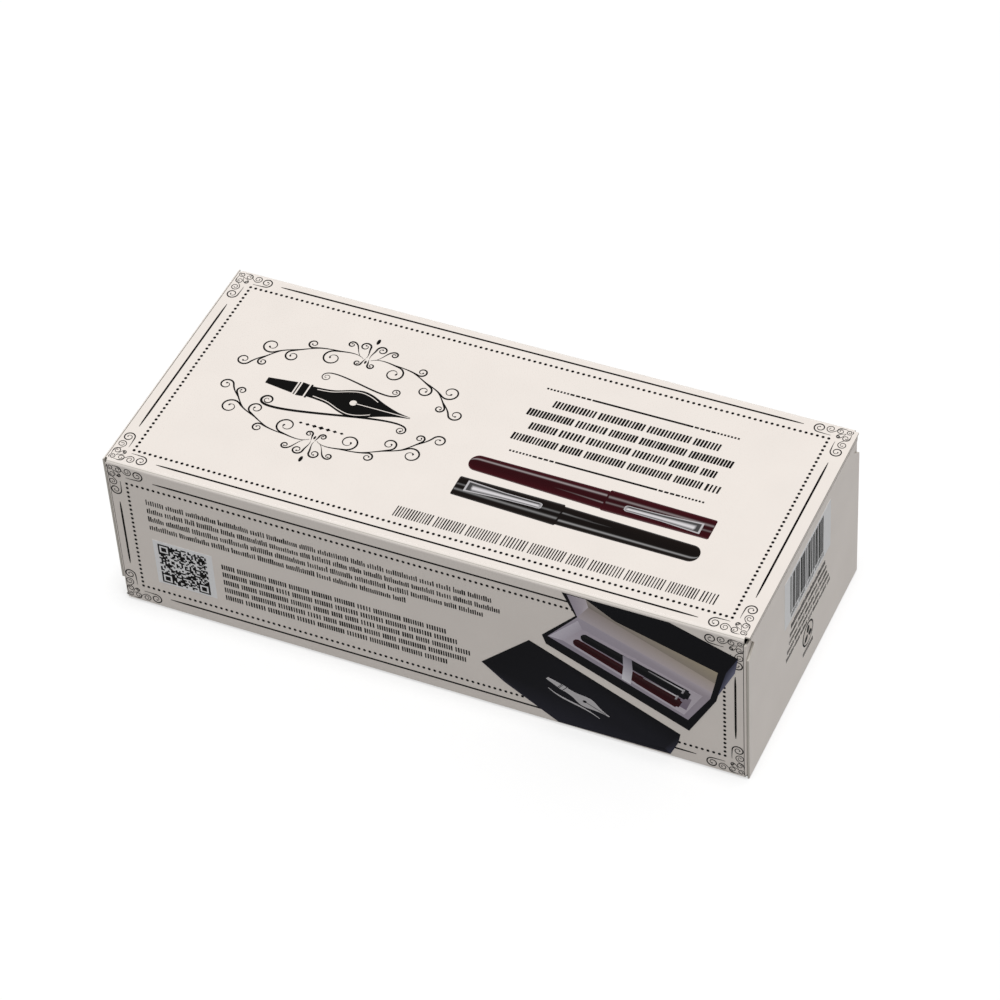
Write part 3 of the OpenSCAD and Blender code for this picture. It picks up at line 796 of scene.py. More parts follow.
def bridge(start, leave, end, arrive, pull=1.0, count=16):
    """Points between two places, left and reached in given directions."""
    far = math.dist(start, end) * pull
    points = []
    for i in range(1, count):
        t = i / count
        a = 2 * t ** 3 - 3 * t ** 2 + 1
        b = t ** 3 - 2 * t ** 2 + t
        c = 3 * t ** 2 - 2 * t ** 3
        d = t ** 3 - t ** 2
        points.append(tuple(a * start[k] + b * far * leave[k] + c * end[k] + d * far * arrive[k]
                            for k in (0, 1)))
    return points


def heading(angle, way):
    """Direction of a curl's stroke at its edge, where it has turned to an angle."""
    a = math.radians(angle)
    return (-way * math.sin(a), way * math.cos(a))


def scroll(first, second, pull=1.0):
    """A line with a curl at each end; a curl is its middle, radius, angle, way and turns."""
    out, back = spiral(*first), spiral(*second)[::-1]
    leave, arrive = heading(first[2], first[3]), heading(second[2], -second[3])
    return out + bridge(out[-1], leave, back[0], arrive, pull, 60) + back


def swelling(line, thin, thick, peak=0.5):
    """Widths along a line, thin at both ends and thick at its peak, with a drop at its end."""
    last = len(line) - 1
    drop_thick, drop_points = 1.15 * thick, 4.3
    widths = []
    for i in range(len(line)):
        t = i / last
        rise = t / peak if t < peak else (1 - t) / (1 - peak)
        width = thin + (thick - thin) * math.sin(rise * math.pi / 2) ** 1.6
        drop = drop_thick * math.sin(math.pi * min(1.0, (last - i + 0.3) / drop_points))
        widths.append(max(width, drop))
    return widths


def tapered_rule(start, end, thick):
    """A straight rule that runs out thin at both ends."""
    length = math.dist(start, end)
    fade = min(6.0, length / 7)
    places = [0, fade / 3, fade, length - fade, length - fade / 3, length]
    line = [tuple(start[k] + (end[k] - start[k]) * d / length for k in (0, 1)) for d in places]
    return line, [thick * share for share in (0.25, 0.7, 1, 1, 0.7, 0.25)]


# Vines of a corner ornament: start, direction, thickness and curls, in millimetres from the
# corner. A curl is its middle, radius, angle at which the stroke enters, way round and turns
CORNER_ARM = (((3.1, 1.5), (1.0, -0.1), 0.24,
               (((4.9, 2.6), 1.2, -90, 1, 1.35), ((7.9, 2.6), 1.35, 90, -1, 1.45))),
              ((7.2, 5.1), (1.0, 0.1), 0.38, (((11.1, 3.2), 1.85, 90, -1, 1.55),)),
              ((3.1, 3.1), (1.0, 0.5), 0.22, (((4.9, 4.9), 0.62, -20, 1, 1.1),)))
CORNER_EYE = ((2.3, 2.3), 1.05, 225, 1, 1.6)


def vine(start, way, curls):
    """Lines that branch from each other, each ending in a curl."""
    branch = 9
    lines = []
    for curl in curls:
        back = spiral(*curl[:3], -curl[3], *curl[4:])[::-1]
        arrive = heading(curl[2], curl[3])
        line = [start, *bridge(start, way, back[0], arrive), *back]
        lines.append(line)
        start = line[branch]
        way = tuple((Vector(line[branch + 1]) - Vector(line[branch - 1])).normalized())
    return lines


def corner_strokes(panel):
    """Lines and widths of the ornaments in a panel's four corners."""
    lines, widths, thin = [], [], 0.1
    for far_x in (False, True):
        for far_y in (False, True):
            eye = spiral(*CORNER_EYE)
            lines.append(corner_places(panel, eye, False, far_x, far_y))
            widths.append(swelling(eye, thin, 0.24))
            for swap in (False, True):
                for start, way, thick, curls in CORNER_ARM:
                    for line in vine(start, way, curls):
                        widths.append(swelling(line, thin, thick, 0.45))
                        lines.append(corner_places(panel, line, swap, far_x, far_y))
    return lines, widths


def corner_places(panel, line, swap, far_x, far_y):
    """A line of a corner ornament, swapped to its other arm and set in its corner."""
    placed = []
    for p in line:
        x, y = (p[1], p[0]) if swap else p
        placed.append((panel.size[0] - x if far_x else x, panel.size[1] - y if far_y else y))
    return placed


def penned(panel, name, lines, widths):
    """Strokes of black ink on a panel."""
    return grown(panel, name, pen_strokes_tree, {
        "Ink Thickness": settings().ink.thickness, "Ink": black_ink()},
        start=line_mesh(panel, lines, widths))


def tally(panel, name, rows, pitch, mark, height, seed, words, lean=0.0, height_spread=0.0,
          width_spread=0.3):
    """Rows of upright marks in groups of at least and at most so many marks. A row is its
    left end, its right end and its foot."""
    ink = settings().ink
    chance = random.Random(seed)
    gap, shortest = 1.9 * pitch, 4 * pitch
    lines = []
    for x0, x1, y in rows:
        x = x0
        while x < x1 - pitch:
            count = chance.randint(*words)
            end = min(x1, x + count * pitch)
            if x1 - end < shortest:
                end = x1
            lines.append([(x, y), (end, y)])
            x = end + gap
    return grown(panel, name, tally_rows_tree, {
        "Pitch": pitch * MM, "Mark Width": mark * MM, "Width Spread": width_spread,
        "Height": height * MM, "Height Spread": height_spread, "Lean": lean,
        "Seed": seed, "Ink Thickness": ink.thickness, "Ink": black_ink()},
        start=line_mesh(panel, lines))


# Pieces


class CARTON_OT_board(bpy.types.Operator):
    """Give the carton's board pieces their coated and bare sides"""

    bl_idname = "carton.board"
    bl_label = "Board"

    def execute(self, context):
        dress("carton_sleeve", coated_board("coated_boxboard"))
        dress("carton_glue_flap", coated_board("bare_boxboard", (0, 0, 1)))
        sides = {"closure": (1, 0, -1), "tuck_flap": (1, 0, 1), "front_dust_flap": (1, -1, 0),
                 "back_dust_flap": (1, 1, 0)}
        for end, turn in (("right", 1), ("left", -1)):
            for piece, (x, y, z) in sides.items():
                dress(f"{end}_{piece}",
                      coated_board(f"{end}_{piece}_boxboard", (turn * x, y, turn * z)))
        return {"FINISHED"}


class CARTON_OT_frames(bpy.types.Operator):
    """Print the dotted frames, the tapered rules and the corner ornaments"""

    bl_idname = "carton.frames"
    bl_label = "Frames and corner ornaments"

    def execute(self, context):
        ink = settings().ink
        # Distance of the dots and of the rules from a panel's sides and from its top and foot
        lying, standing = (7.2, 6.6, 3.9, 3.4), (7.2, 7.5, 3.9, 4.7)
        ornament = 16
        for panel, margins in ((TOP, lying), (BOTTOM, lying), (FRONT, standing),
                               (BACK, standing)):
            width, height = panel.size
            dot_x, dot_y, rule_x, rule_y = margins
            grown(panel, "dotted_frame", dotted_frame_tree, {
                "Width": (width - 2 * dot_x) * MM, "Height": (height - 2 * dot_y) * MM,
                "Pitch": ink.dot_pitch, "Dot Diameter": ink.dot,
                "Ink Thickness": ink.thickness, "Ink": black_ink()})
            thick = ink.rule / MM
            rules = [tapered_rule((ornament, y), (width - ornament, y), thick)
                     for y in (rule_y, height - rule_y)]
            rules += [tapered_rule((x, ornament), (x, height - ornament), thick)
                      for x in (rule_x, width - rule_x)]
            penned(panel, "rules", [r[0] for r in rules], [r[1] for r in rules])
            penned(panel, "corner_ornaments", *corner_strokes(panel))
        return {"FINISHED"}


# Curls of a quarter of the emblem's frame: their angle round it, in degrees from its side,
# their side of the vine and their radius in millimetres
FRAME_CURLS = ((71, -1, 3.1), (59, 1, 1.7), (46, -1, 2.3), (35, 1, 2.9), (23, -1, 1.5),
               (14, 1, 2.2))
# Half of the frame's length and height
FRAME_REACH = (33.0, 20.0)
# Small vines at the middle of the frame's top: start, direction and curl
FRAME_MIDDLE = (((0.5, 19.0), (-0.25, 1.0), ((2.7, 23.4), 1.7, 180, -1, 1.35)),
                ((0.6, 18.6), (0.1, -1.0), ((2.2, 16.2), 1.15, 180, 1, 1.3)),
                ((2.4, 18.9), (1.0, 0.9), ((6.9, 22.9), 1.2, 100, -1, 1.2)))


def frame_quarter():
    """Vines from the top of an oval to its side, with curls to their left and right."""
    across, down = FRAME_REACH
    clear, turns = 0.4, 1.3
    curls = []
    for angle, side, radius in FRAME_CURLS:
        a = math.radians(angle)
        spot = Vector((across * math.cos(a), down * math.sin(a)))
        along = Vector((across * math.sin(a), -down * math.cos(a)))
        out = Vector((-along.y, along.x)).normalized()
        middle = spot + out * side * (radius + clear)
        arrive = math.degrees(math.atan2(out.y, out.x)) + (180 if side > 0 else 0)
        curls.append((tuple(middle), radius, arrive, side, turns))
    lines = vine((1.2, 18.3), (0.75, 0.65), curls)
    for start, way, curl in FRAME_MIDDLE:
        lines += vine(start, way, [curl])
    return lines


# Half of the nib's outline above its middle line, from its heel to its point
NIB_EDGE = ((-10.0, 2.3), (-7.0, 2.5), (-3.0, 3.1), (1.5, 4.9), (5.0, 5.7), (8.5, 5.0),
            (13.0, 2.9), (18.0, 1.1), (22.5, 0.25))
# Rings and shaft of the nib's holder: each end's place and half its width there
HOLDER_PARTS = ((-10.6, 2.9, -10.0, 2.9), (-13.4, 2.9, -11.1, 2.6), (-14.3, 2.7, -13.9, 2.7),
                (-24.0, 1.2, -14.8, 2.4))
# The middle of the nib's round vent
VENT_X = 4.2


def nib_parts():
    """Outlines of the nib and of its holder's parts."""
    upper = smooth_through(NIB_EDGE)
    parts = [upper + [(x, -y) for x, y in reversed(upper)]]
    for left, a, right, b in HOLDER_PARTS:
        parts.append(((left, a), (right, b), (right, -b), (left, -a)))
    return parts


def nib_emblem(panel, middle, scale=1.0, framed=True):
    """A dip pen's nib in its holder over a swash, alone or in a frame of scrolls. Its points
    are in millimetres from its middle at scale 1, with y upwards."""
    def laid(points):
        return [(middle[0] + scale * x, middle[1] - scale * y) for x, y in points]

    dark, light = Plates(panel), Plates(panel, layers=2)
    for part in nib_parts():
        dark.plate(laid(part))
    light.plate(laid(circle(VENT_X, 0, 1.1, 20)))
    light.plate(laid(oblong(5, -0.14, 22.4, 0.14)))
    # A thin line of light inside each edge, from past the heel to short of the point
    shoulder = smooth_through(NIB_EDGE)[6:46]
    for side in (-1, 1):
        outer, inner = [[(x - 0.3, side * max(y - inset, 0.0)) for x, y in shoulder]
                        for inset in (0.75, 1.05)]
        light.plate(laid(outer + inner[::-1]))
    dark.piece("emblem_nib", black_ink())
    light.piece("emblem_nib_lights", coat_tone())
    lines = [scroll(((-20.0, -7.6), 1.9, 180, 1, 1.4), ((22.0, -5.6), 1.5, 0, 1, 1.3), 0.55),
             scroll(((-8.0, 7.4), 1.4, 180, -1, 1.3), ((14.0, 8.4), 1.3, 0, -1, 1.3), 0.8)]
    widths = [swelling(lines[0], 0.15, 0.9, 0.4), swelling(lines[1], 0.12, 0.55, 0.6)]
    if framed:
        for right in (-1, 1):
            for up in (-1, 1):
                for line in frame_quarter():
                    thick = min(0.62, 0.2 + len(line) / 130)
                    widths.append(swelling(line, 0.12, thick, 0.4))
                    lines.append([(right * x, up * y) for x, y in line])
    penned(panel, "emblem_scrolls", [laid(line) for line in lines],
           [[w * scale for w in row] for row in widths])
    if framed:
        emblem_drops(panel, laid)


def emblem_drops(panel, laid):
    """Drops at the top and foot of the emblem's frame, and a row of diamonds under its nib."""
    drops = Plates(panel)
    for up in (-1, 1):
        for rise, size in ((26.6, 1.0), (17.2, 0.6)):
            drops.plate(laid([(0.55 * size * math.sin(a), up * (rise + 1.2 * size * math.cos(a)))
                              for a in [math.tau * i / 12 for i in range(12)]]))
    pitch, row_y = 2.2, -12.9
    for i in range(-3, 4):
        size = 1.0 - 0.12 * abs(i)
        drops.plate(laid([(pitch * i + size * a, row_y + size * b)
                          for a, b in ((0, 0.75), (0.95, 0), (0, -0.75), (-0.95, 0))]))
    drops.piece("emblem_drops", black_ink())


class CARTON_OT_emblem(bpy.types.Operator):
    """Print the nib emblems"""

    bl_idname = "carton.emblem"
    bl_label = "Nib emblems"

    def execute(self, context):
        nib_emblem(TOP, (54.1, 41.8))
        nib_emblem(BACK, (WIDTH / 2, HEIGHT / 2), 0.7)
        nib_emblem(LEFT, (DEPTH / 2, HEIGHT / 2), 0.8, framed=False)
        return {"FINISHED"}


class CARTON_OT_word_rows(bpy.types.Operator):
    """Print the rows of marks, and the rules that fade into dashes and dots"""

    bl_idname = "carton.word_rows"
    bl_label = "Rows of marks"

    def execute(self, context):
        middle = 139.2
        rows = [(middle - w / 2, middle + w / 2, y)
                for w, y in ((51.2, 22.8), (63.0, 28.1), (57.2, 33.5), (63.6, 39.0))]
        tally(TOP, "heading_rows", rows, pitch=0.96, mark=0.74, height=2.9, seed=11,
              words=(6, 14), lean=0.06)
        tally(TOP, "caption_row", [(88.6, 186.0, 79.8)], pitch=0.84, mark=0.4, height=4.2,
              seed=12, words=(6, 13), lean=0.04)
        for name, y in (("upper_fading_rule", 15.9), ("lower_fading_rule", 43.6)):
            self.fading_rule(TOP, name, 108.9, 169.1, y)
        rows = [(12.9, end, y)
                for end, y in ((122.4, 14.1), (124.8, 17.5), (119.4, 20.9), (95.0, 24.3))]
        tally(FRONT, "paragraph_rows", rows, pitch=0.66, mark=0.44, height=2.2, seed=13,
              words=(4, 14), height_spread=0.4)
        rows = [(35.6, end, y) for end, y in ((107.1, 32.6), (110.4, 35.8), (114.3, 39.0),
                                             (112.9, 42.2), (106.7, 45.4))]
        tally(FRONT, "list_rows", rows, pitch=0.74, mark=0.5, height=1.9, seed=14,
              words=(4, 12))
        tally(RIGHT, "bar_code_row", [(33.2, 58.8, 23.0)], pitch=0.9, mark=0.5, height=1.5,
              seed=18, words=(5, 6))
        tally(RIGHT, "bold_row", [(33.4, 60.4, 27.9)], pitch=0.8, mark=0.6, height=2.0,
              seed=15, words=(30, 40), height_spread=0.3)
        rows = [(32.4, 61.5, 30.6), (31.8, 62.2, 33.2), (30.2, 63.6, 35.8), (29.4, 64.6, 38.4)]
        tally(RIGHT, "small_rows", rows, pitch=0.62, mark=0.4, height=1.5, seed=16,
              words=(4, 12), height_spread=0.35)
        tally(RIGHT, "mark_row", [(43.2, 50.7, 49.8)], pitch=0.7, mark=0.44, height=1.4,
              seed=17, words=(30, 40))
        return {"FINISHED"}

    def fading_rule(self, panel, name, x0, x1, y):
        """A solid rule whose ends break into dashes and then into dots."""
        plates = Plates(panel)
        half, gap = 0.34, 0.45
        dots, dashes = [0.6] * 7, [1.3] * 4
        x = x0
        for length in dots + dashes:
            for a, b in ((x, x + length), (x0 + x1 - x - length, x0 + x1 - x)):
                plates.plate(oblong(a, y - half, b, y + half))
            x += length + gap
        plates.plate(oblong(x, y - half, x0 + x1 - x, y + half))
        plates.piece(name, black_ink())


# A leaf's outline: angles round its middle, and how far it reaches there
LEAF_EDGE = ((0, 1.8), (0.8, 1.2), (1.57, 1.05), (2.3, 1.1), (3.14, 1.4), (3.98, 1.1),
             (4.71, 1.05), (5.5, 1.2))


class CARTON_OT_codes(bpy.types.Operator):
    """Print the square code, the bar code and the round mark as plain patterns"""

    bl_idname = "carton.codes"
    bl_label = "Plain code patterns"

    def execute(self, context):
        patch = offset_ink("white_patch_ink", settings().ink.white)
        self.square_code(patch)
        self.bar_code(patch)
        self.round_mark(46.9, 43.3)
        return {"FINISHED"}

    def square_code(self, patch):
        """Random squares on a white patch, with the corner squares that any such code has."""
        white = Plates(FRONT)
        white.plate(oblong(12.9, 28.4, 32.4, 46.2))
        white.piece("code_patch", patch)
        # Its middle and side in millimetres, then how many squares there are along its side
        # and along that of a corner square
        x, y, side, count, corner = 22.4, 37.5, 15.9, 29, 7
        grown(FRONT, "square_code", code_squares_tree, {
            "Side": side * MM, "Count": count, "Filled Share": 0.52, "Seed": 21,
            "Ink Thickness": 2 * settings().ink.thickness, "Ink": black_ink()},
            middle=FRONT.at(x, y).to_2d())
        cell, last = side / count, count - corner
        layers = [Plates(FRONT, layers=k) for k in (3, 4, 5)]
        for across, down in ((0, 0), (0, last), (last, last)):
            for rim, plates in enumerate(layers):
                a = x - side / 2 + cell * (across + rim)
                b = y - side / 2 + cell * (down + rim)
                wide = cell * (corner - 2 * rim)
                plates.plate(oblong(a, b, a + wide, b + wide))
        for plates, name, ink in zip(layers, ("finder_squares", "finder_gaps", "finder_cores"),
                                     (black_ink(), patch, black_ink())):
            plates.piece(name, ink)

    def bar_code(self, patch):
        """Random bars on a white patch."""
        white = Plates(RIGHT)
        white.plate(oblong(28.0, 5.4, 64.8, 24.0))
        white.piece("code_patch", patch)
        chance = random.Random(22)
        # The thinnest bar's width, and the edges of the pattern
        unit, x, end, top, foot = 0.29, 32.4, 59.2, 6.5, 20.9
        bars = Plates(RIGHT, layers=2)
        while x < end:
            wide = unit * chance.choice((1, 1, 2, 2, 3, 4))
            bars.plate(oblong(x, top, x + wide, foot))
            x += wide + unit * chance.choice((1, 1, 2, 3))
        bars.piece("bar_code", black_ink())

    def round_mark(self, x, y):
        """Three leaves in a ring."""
        for layer, radius, name, ink in ((1, 4.3, "round_mark", black_ink()),
                                         (2, 3.7, "round_mark_field", coat_tone())):
            disc = Plates(RIGHT, layers=layer)
            disc.plate(circle(x, y, radius, 32))
            disc.piece(name, ink)
        leaves, out = Plates(RIGHT, layers=3), 1.7
        for turn in range(3):
            a = math.tau * turn / 3 + 0.5
            leaves.plate([(x + out * math.cos(a) + r * math.cos(a + b),
                           y + out * math.sin(a) + r * math.sin(a + b)) for b, r in LEAF_EDGE])
        leaves.piece("round_mark_leaves", black_ink())


def shades(*codes):
    """Linear values of several sRGB hex colours."""
    return [linear(code) for code in codes]


def blend_tones(a, b, share):
    """A mix of two rows of numbers."""
    return [p + (q - p) * share for p, q in zip(a, b)]


def pen_tone(body, across, streaks):
    """Tone across a printed pen. A streak is its place, its width and its strength."""
    shade = [c * (1.35 - 0.6 * math.sin(math.pi * across)) for c in body]
    glow = sum(strength * math.exp(-((across - place) / width) ** 2)
               for place, width, strength in streaks)
    return blend_tones(shade, [2 * c + 0.78 for c in body], min(1.0, glow))


def printed_pen(plates, body, flip, tail, barrel, mouth, cap, end):
    """A printed pen from its round tail to its cap's end, as strips of tone. Barrel and cap
    are their upper and lower edges at their first and last place."""
    way = 1 if end > tail else -1
    bend = way * 2.7
    across = [i / 32 for i in range(33)]
    rims = [(0.0, 0.03, 0.08), (1.0, 0.04, 0.1)]
    gleam = (0.25, 0.045, 0.36)
    # Each station is its place, its upper and lower edge, its share of that width and its streaks
    stations = []
    for i in range(11):
        a = math.pi / 2 * i / 10
        stations.append((tail + bend * (1 - math.cos(a)), *barrel[0], max(0.02, math.sin(a)),
                         [gleam, *rims] if i > 2 else rims))
    for t in (0.1, 0.35, 0.6, 0.75, 0.9, 0.985):
        wedge = (0.5 + 0.16 * t, 0.012 + 0.03 * max(0.0, t - 0.5),
                 0.3 * min(1.0, 2.4 * max(0.0, t - 0.6)))
        stations.append((tail + bend + (mouth - tail - bend) * t, *blend_tones(*barrel, t), 1.0,
                         [gleam, wedge, *rims]))
    stations.append((mouth - way * 0.3, *barrel[1], 0.98, []))
    for t in (0.0, 0.01, 0.3, 0.6, 0.97, 0.99, 1.0):
        streaks = [(0.32, 0.045, 0.26), (0.6, 0.035, 0.17), *rims] if 0 < t < 1 else []
        stations.append((mouth + (end - mouth) * t, *blend_tones(*cap, t),
                         0.9 if t == 1 else 1.0, streaks))
    rows, tones = [], []
    for x, top, bottom, share, streaks in stations:
        middle, half = (top + bottom) / 2, (bottom - top) / 2 * share
        rows.append([(x, middle + (2 * a - 1) * half) for a in across])
        tones.append([pen_tone(body, 1 - a if flip else a, streaks) for a in across])
    plates.strip(rows, tones)


def printed_clip(plates, silver, root, tip, y, wide, narrow):
    """A printed clip: a bright border round a dark field with a bright ridge."""
    border = 0.85
    # Places across the clip, and how bright it is there
    across = [0.0, 0.09, 0.13, 0.3, 0.45, 0.62, 0.8, 0.87, 0.91, 1.0]
    bright = [border, border, 0.1, 0.14, 0.95, 1.25, 0.4, 0.1, border, border]
    # Places along the clip, their share of its width, and how bright a bar across it is
    stations = ((0.0, 1, border), (0.02, 1, border), (0.03, 1, 0.1), (0.07, 1, 0.1),
                (0.1, 1, None), (0.5, 1, None), (0.9, 1, None), (0.95, 1.05, None),
                (0.98, 0.95, 0.5), (1.0, 0.6, 0.9))
    rows, tones = [], []
    for t, share, bar in stations:
        span = share * (wide + (narrow - wide) * min(1.0, t * 1.6))
        rows.append([(root + (tip - root) * t, y + (a - 0.5) * span) for a in across])
        levels = bright if bar is None else [max(bar, b if b == border else 0) for b in bright]
        tones.append([[min(1.0, c * level) for c in silver] for level in levels])
    plates.strip(rows, tones)


class CARTON_OT_pen_picture(bpy.types.Operator):
    """Print the two pens on the top panel"""

    bl_idname = "carton.pen_picture"
    bl_label = "Printed pens"

    def execute(self, context):
        look = settings().picture
        bodies, clips = Plates(TOP), Plates(TOP, layers=2)
        printed_pen(bodies, look.burgundy_pen, flip=False, tail=100.0,
                    barrel=((48.6, 54.9), (48.8, 56.5)), mouth=142.9,
                    cap=((48.3, 56.8), (49.0, 56.9)), end=175.5)
        printed_pen(bodies, look.black_pen, flip=True, tail=175.7,
                    barrel=((60.3, 66.8), (59.1, 66.7)), mouth=132.8,
                    cap=((58.5, 67.1), (58.3, 66.0)), end=100.2)
        for root, tip, y in ((172.4, 148.9, 53.6), (103.2, 126.8, 61.4)):
            printed_clip(clips, look.silver, root, tip, y, wide=4.4, narrow=2.3)
        bodies.piece("printed_pens", picture_print())
        clips.piece("printed_clips", picture_print())
        return {"FINISHED"}


class CARTON_OT_case_picture(bpy.types.Operator):
    """Print the open and the closed gift case on the front panel"""

    bl_idname = "carton.case_picture"
    bl_label = "Printed gift case"

    def execute(self, context):
        look = settings().picture
        outside, lining, floor, pens, top, field = [Plates(FRONT, layers=k)
                                                    for k in (2, 3, 4, 5, 6, 7)]
        shade = Plates(FRONT, layers=4.5)
        self.covers(outside, look.case)
        self.open_inside(lining, floor, shade)
        self.slanted_pen(pens, look.burgundy_pen, (147.5, 19.9), (179.6, 33.8), 1.7, 2.2)
        self.slanted_pen(pens, look.case, (149.9, 17.1), (182.3, 29.5), 1.7, 2.2)
        self.slanted_clip(top, (168.5, 27.1), (178.6, 30.8))
        self.slanted_clip(top, (170.1, 23.7), (180.6, 27.6))
        band = ((162.5, 20.2), (165.2, 20.8), (165.3, 25.5), (164.6, 31.2), (161.9, 30.0),
                (162.5, 25.0))
        top.plate(band, shades("#A29CA8", "#8F8996", "#D2CED8", "#E6E3EA", "#F1EFF4", "#C7C2CD"))
        self.lid_mark(top, field, look.silver, look.case)
        for plates, name in ((outside, "case_outside"), (lining, "case_lining"),
                             (floor, "case_floor"), (shade, "pen_shadow"), (pens, "case_pens"),
                             (top, "band_and_clips"), (field, "mark_slit")):
            plates.piece(f"picture_{name}", picture_print())
        return {"FINISHED"}

    def covers(self, plates, case):
        """The black outsides of the open case and of the closed one below it."""
        grey = blend_tones(case, linear("#3A3A46"), 0.5)
        # Corners of each face, in millimetres on the panel
        open_base = ((137.8, 21.2), (148.5, 9.6), (190.9, 25.7), (190.4, 28.1), (182.0, 43.8),
                     (138.9, 24.5))
        raised_lid = ((144.7, 1.5), (153.0, 1.5), (176.8, 1.5), (197.0, 8.4), (193.4, 15.4),
                      (190.9, 25.7), (148.5, 9.6))
        raised_end = ((197.0, 8.4), (196.0, 14.6), (190.9, 25.7), (193.4, 15.4))
        closed_lid = ((118.1, 40.0), (133.6, 25.1), (179.3, 46.6), (174.4, 54.4), (141.4, 56.4))
        closed_side = ((118.1, 40.0), (141.4, 56.4), (124.9, 45.9))
        closed_end = ((179.3, 46.6), (178.5, 50.6), (176.1, 56.1), (174.4, 54.4))
        closed_foot = ((141.4, 56.4), (174.4, 54.4), (176.1, 56.1))
        for points, tones in (
                (open_base, case), (raised_lid, case),
                (raised_end, shades("#44465A", "#7B7C92", "#5F6074", "#333443")),
                (closed_lid, [case, case, case, blend_tones(case, grey, 0.5), grey]),
                (closed_side, [grey, linear("#2F303A"), grey]),
                (closed_end, [case, grey, linear("#3F4152"), grey]),
                (closed_foot, [grey, case, grey])):
            plates.plate(points, tones)

    def open_inside(self, lining, floor, shade):
        """The pale inside of the open case, and the pens' shadow on it."""
        lid_end = ((146.2, 1.7), (151.9, 1.7), (152.6, 4.6), (149.1, 9.8))
        lid_floor = ((151.9, 1.7), (160.5, 7.2), (191.0, 16.3), (190.1, 21.0), (152.6, 4.6))
        lid_wall = ((152.6, 4.6), (190.1, 21.0), (189.2, 25.2), (149.1, 9.8))
        base_walls = ((139.6, 21.0), (149.1, 9.8), (189.2, 25.2), (188.6, 27.8), (181.8, 39.3))
        bed_end = ((139.9, 20.9), (149.2, 11.2), (150.4, 14.2), (144.3, 21.1))
        bed = ((144.3, 21.1), (150.4, 14.2), (186.3, 27.7), (180.6, 37.6))
        shadow = ((148.8, 21.4), (151.0, 18.6), (183.0, 30.4), (181.3, 35.4))
        for plates, points, tones in (
                (lining, lid_end, shades("#A9A1AC", "#C9C0C6", "#D6CDD3", "#B4ABB8")),
                (lining, lid_floor,
                 shades("#A79F99", "#A1978D", "#B3A791", "#A4998D", "#8F8680")),
                (lining, lid_wall, shades("#A89C98", "#C2B5AA", "#CCC0C2", "#C3B9BF")),
                (lining, base_walls,
                 shades("#A39BA9", "#B5ADB9", "#C9BFC6", "#B1A7B0", "#AFA6B2")),
                (floor, bed_end, shades("#D9D3DE", "#CFC8D3", "#BEB6C2", "#C9C2CE")),
                (floor, bed, shades("#C7BFCA", "#BBB1BD", "#C6BDC6", "#CFC7D0")),
                (shade, shadow, shades("#8D828F", "#9A8F9B", "#958A96", "#85798A"))):
            plates.plate(points, tones)

    def slanted_pen(self, plates, body, start, end, near, far):
        """A small printed pen from its tail to its end, half as wide as near and far."""
        along = Vector(end) - Vector(start)
        side = Vector((-along.y, along.x)).normalized()
        streaks = ((0.3, 0.1, 0.015),)
        across = [i / 8 for i in range(9)]
        # Places along the pen, and their share of its width: round tail, barrel, cap and end
        stations = ((0, 0.1), (0.01, 0.6), (0.03, 0.9), (0.6, 0.94), (0.605, 1.0), (0.975, 1.0),
                    (0.98, 0.7), (1.0, 0.65))
        rows, tones = [], []
        for t, share in stations:
            middle = Vector(start) + along * t
            half = (near + (far - near) * t) * share
            rows.append([tuple(middle + side * half * (2 * a - 1)) for a in across])
            tones.append([pen_tone(body, a, streaks) for a in across])
        plates.strip(rows, tones)

    def slanted_clip(self, plates, tip, root):
        """A small printed clip: its arm, and the bend at its root."""
        (x0, y0), (x1, y1) = tip, root
        arm = ((x0, y0 - 0.2), (x1, y1 - 0.3), (x1, y1 + 0.25), (x0, y0 + 0.2))
        bend = ((x1, y1 - 0.5), (x1 + 0.6, y1 - 0.5), (x1 - 0.1, y1 + 1.4), (x1 - 0.7, y1 + 1.2))
        plates.plate(arm, shades("#8E8A8E", "#F2F0F2", "#D8D4D8", "#6E6A6E"))
        plates.plate(bend, shades("#F2F0F2", "#A9A5A9", "#6E6A6E", "#C9C5C9"))

    def lid_mark(self, plates, field, silver, case):
        """A small nib over a swash, laid down in perspective on the closed case's lid."""
        middle, along, across = (148.4, 43.4), (0.40725, 0.1935), (0.25, -0.31)

        def laid(points):
            return [tuple(middle[k] + along[k] * x + across[k] * y for k in (0, 1))
                    for x, y in points]

        for part in nib_parts():
            plates.plate(laid(part), silver)
        field.plate(laid(circle(VENT_X, 0, 1.3, 16)), case)
        field.plate(laid(oblong(5.0, -0.2, 20.0, 0.2)), case)
        left, right, thick = -18, 20, 1.3
        swash = [(x, -8.4 + 1.5 * math.sin(x / 7)) for x in range(left, right + 1, 2)]
        under = [(x, y - thick * math.sin(math.pi * (x - left) / (right - left)) - 0.1)
                 for x, y in swash]
        plates.plate(laid(swash + under[::-1]), silver)


class CARTON_OT_gift_case(bpy.types.Operator):
    """Cover the gift case in leatherette"""

    bl_idname = "carton.gift_case"
    bl_label = "Gift case"

    def execute(self, context):
        for node in ("case_base", "case_lid", "case_hinge_strip"):
            dress(node, leatherette())
        return {"FINISHED"}


def reach_at(node, lowest):
    """How far a node reaches in x and y at its lowest or highest level, and that level."""
    points = [v.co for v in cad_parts[node].data.vertices]
    level = min(p.z for p in points) if lowest else max(p.z for p in points)
    edge = [p for p in points if abs(p.z - level) < 0.02 * MM]
    return max(p.x for p in edge), max(p.y for p in edge), level


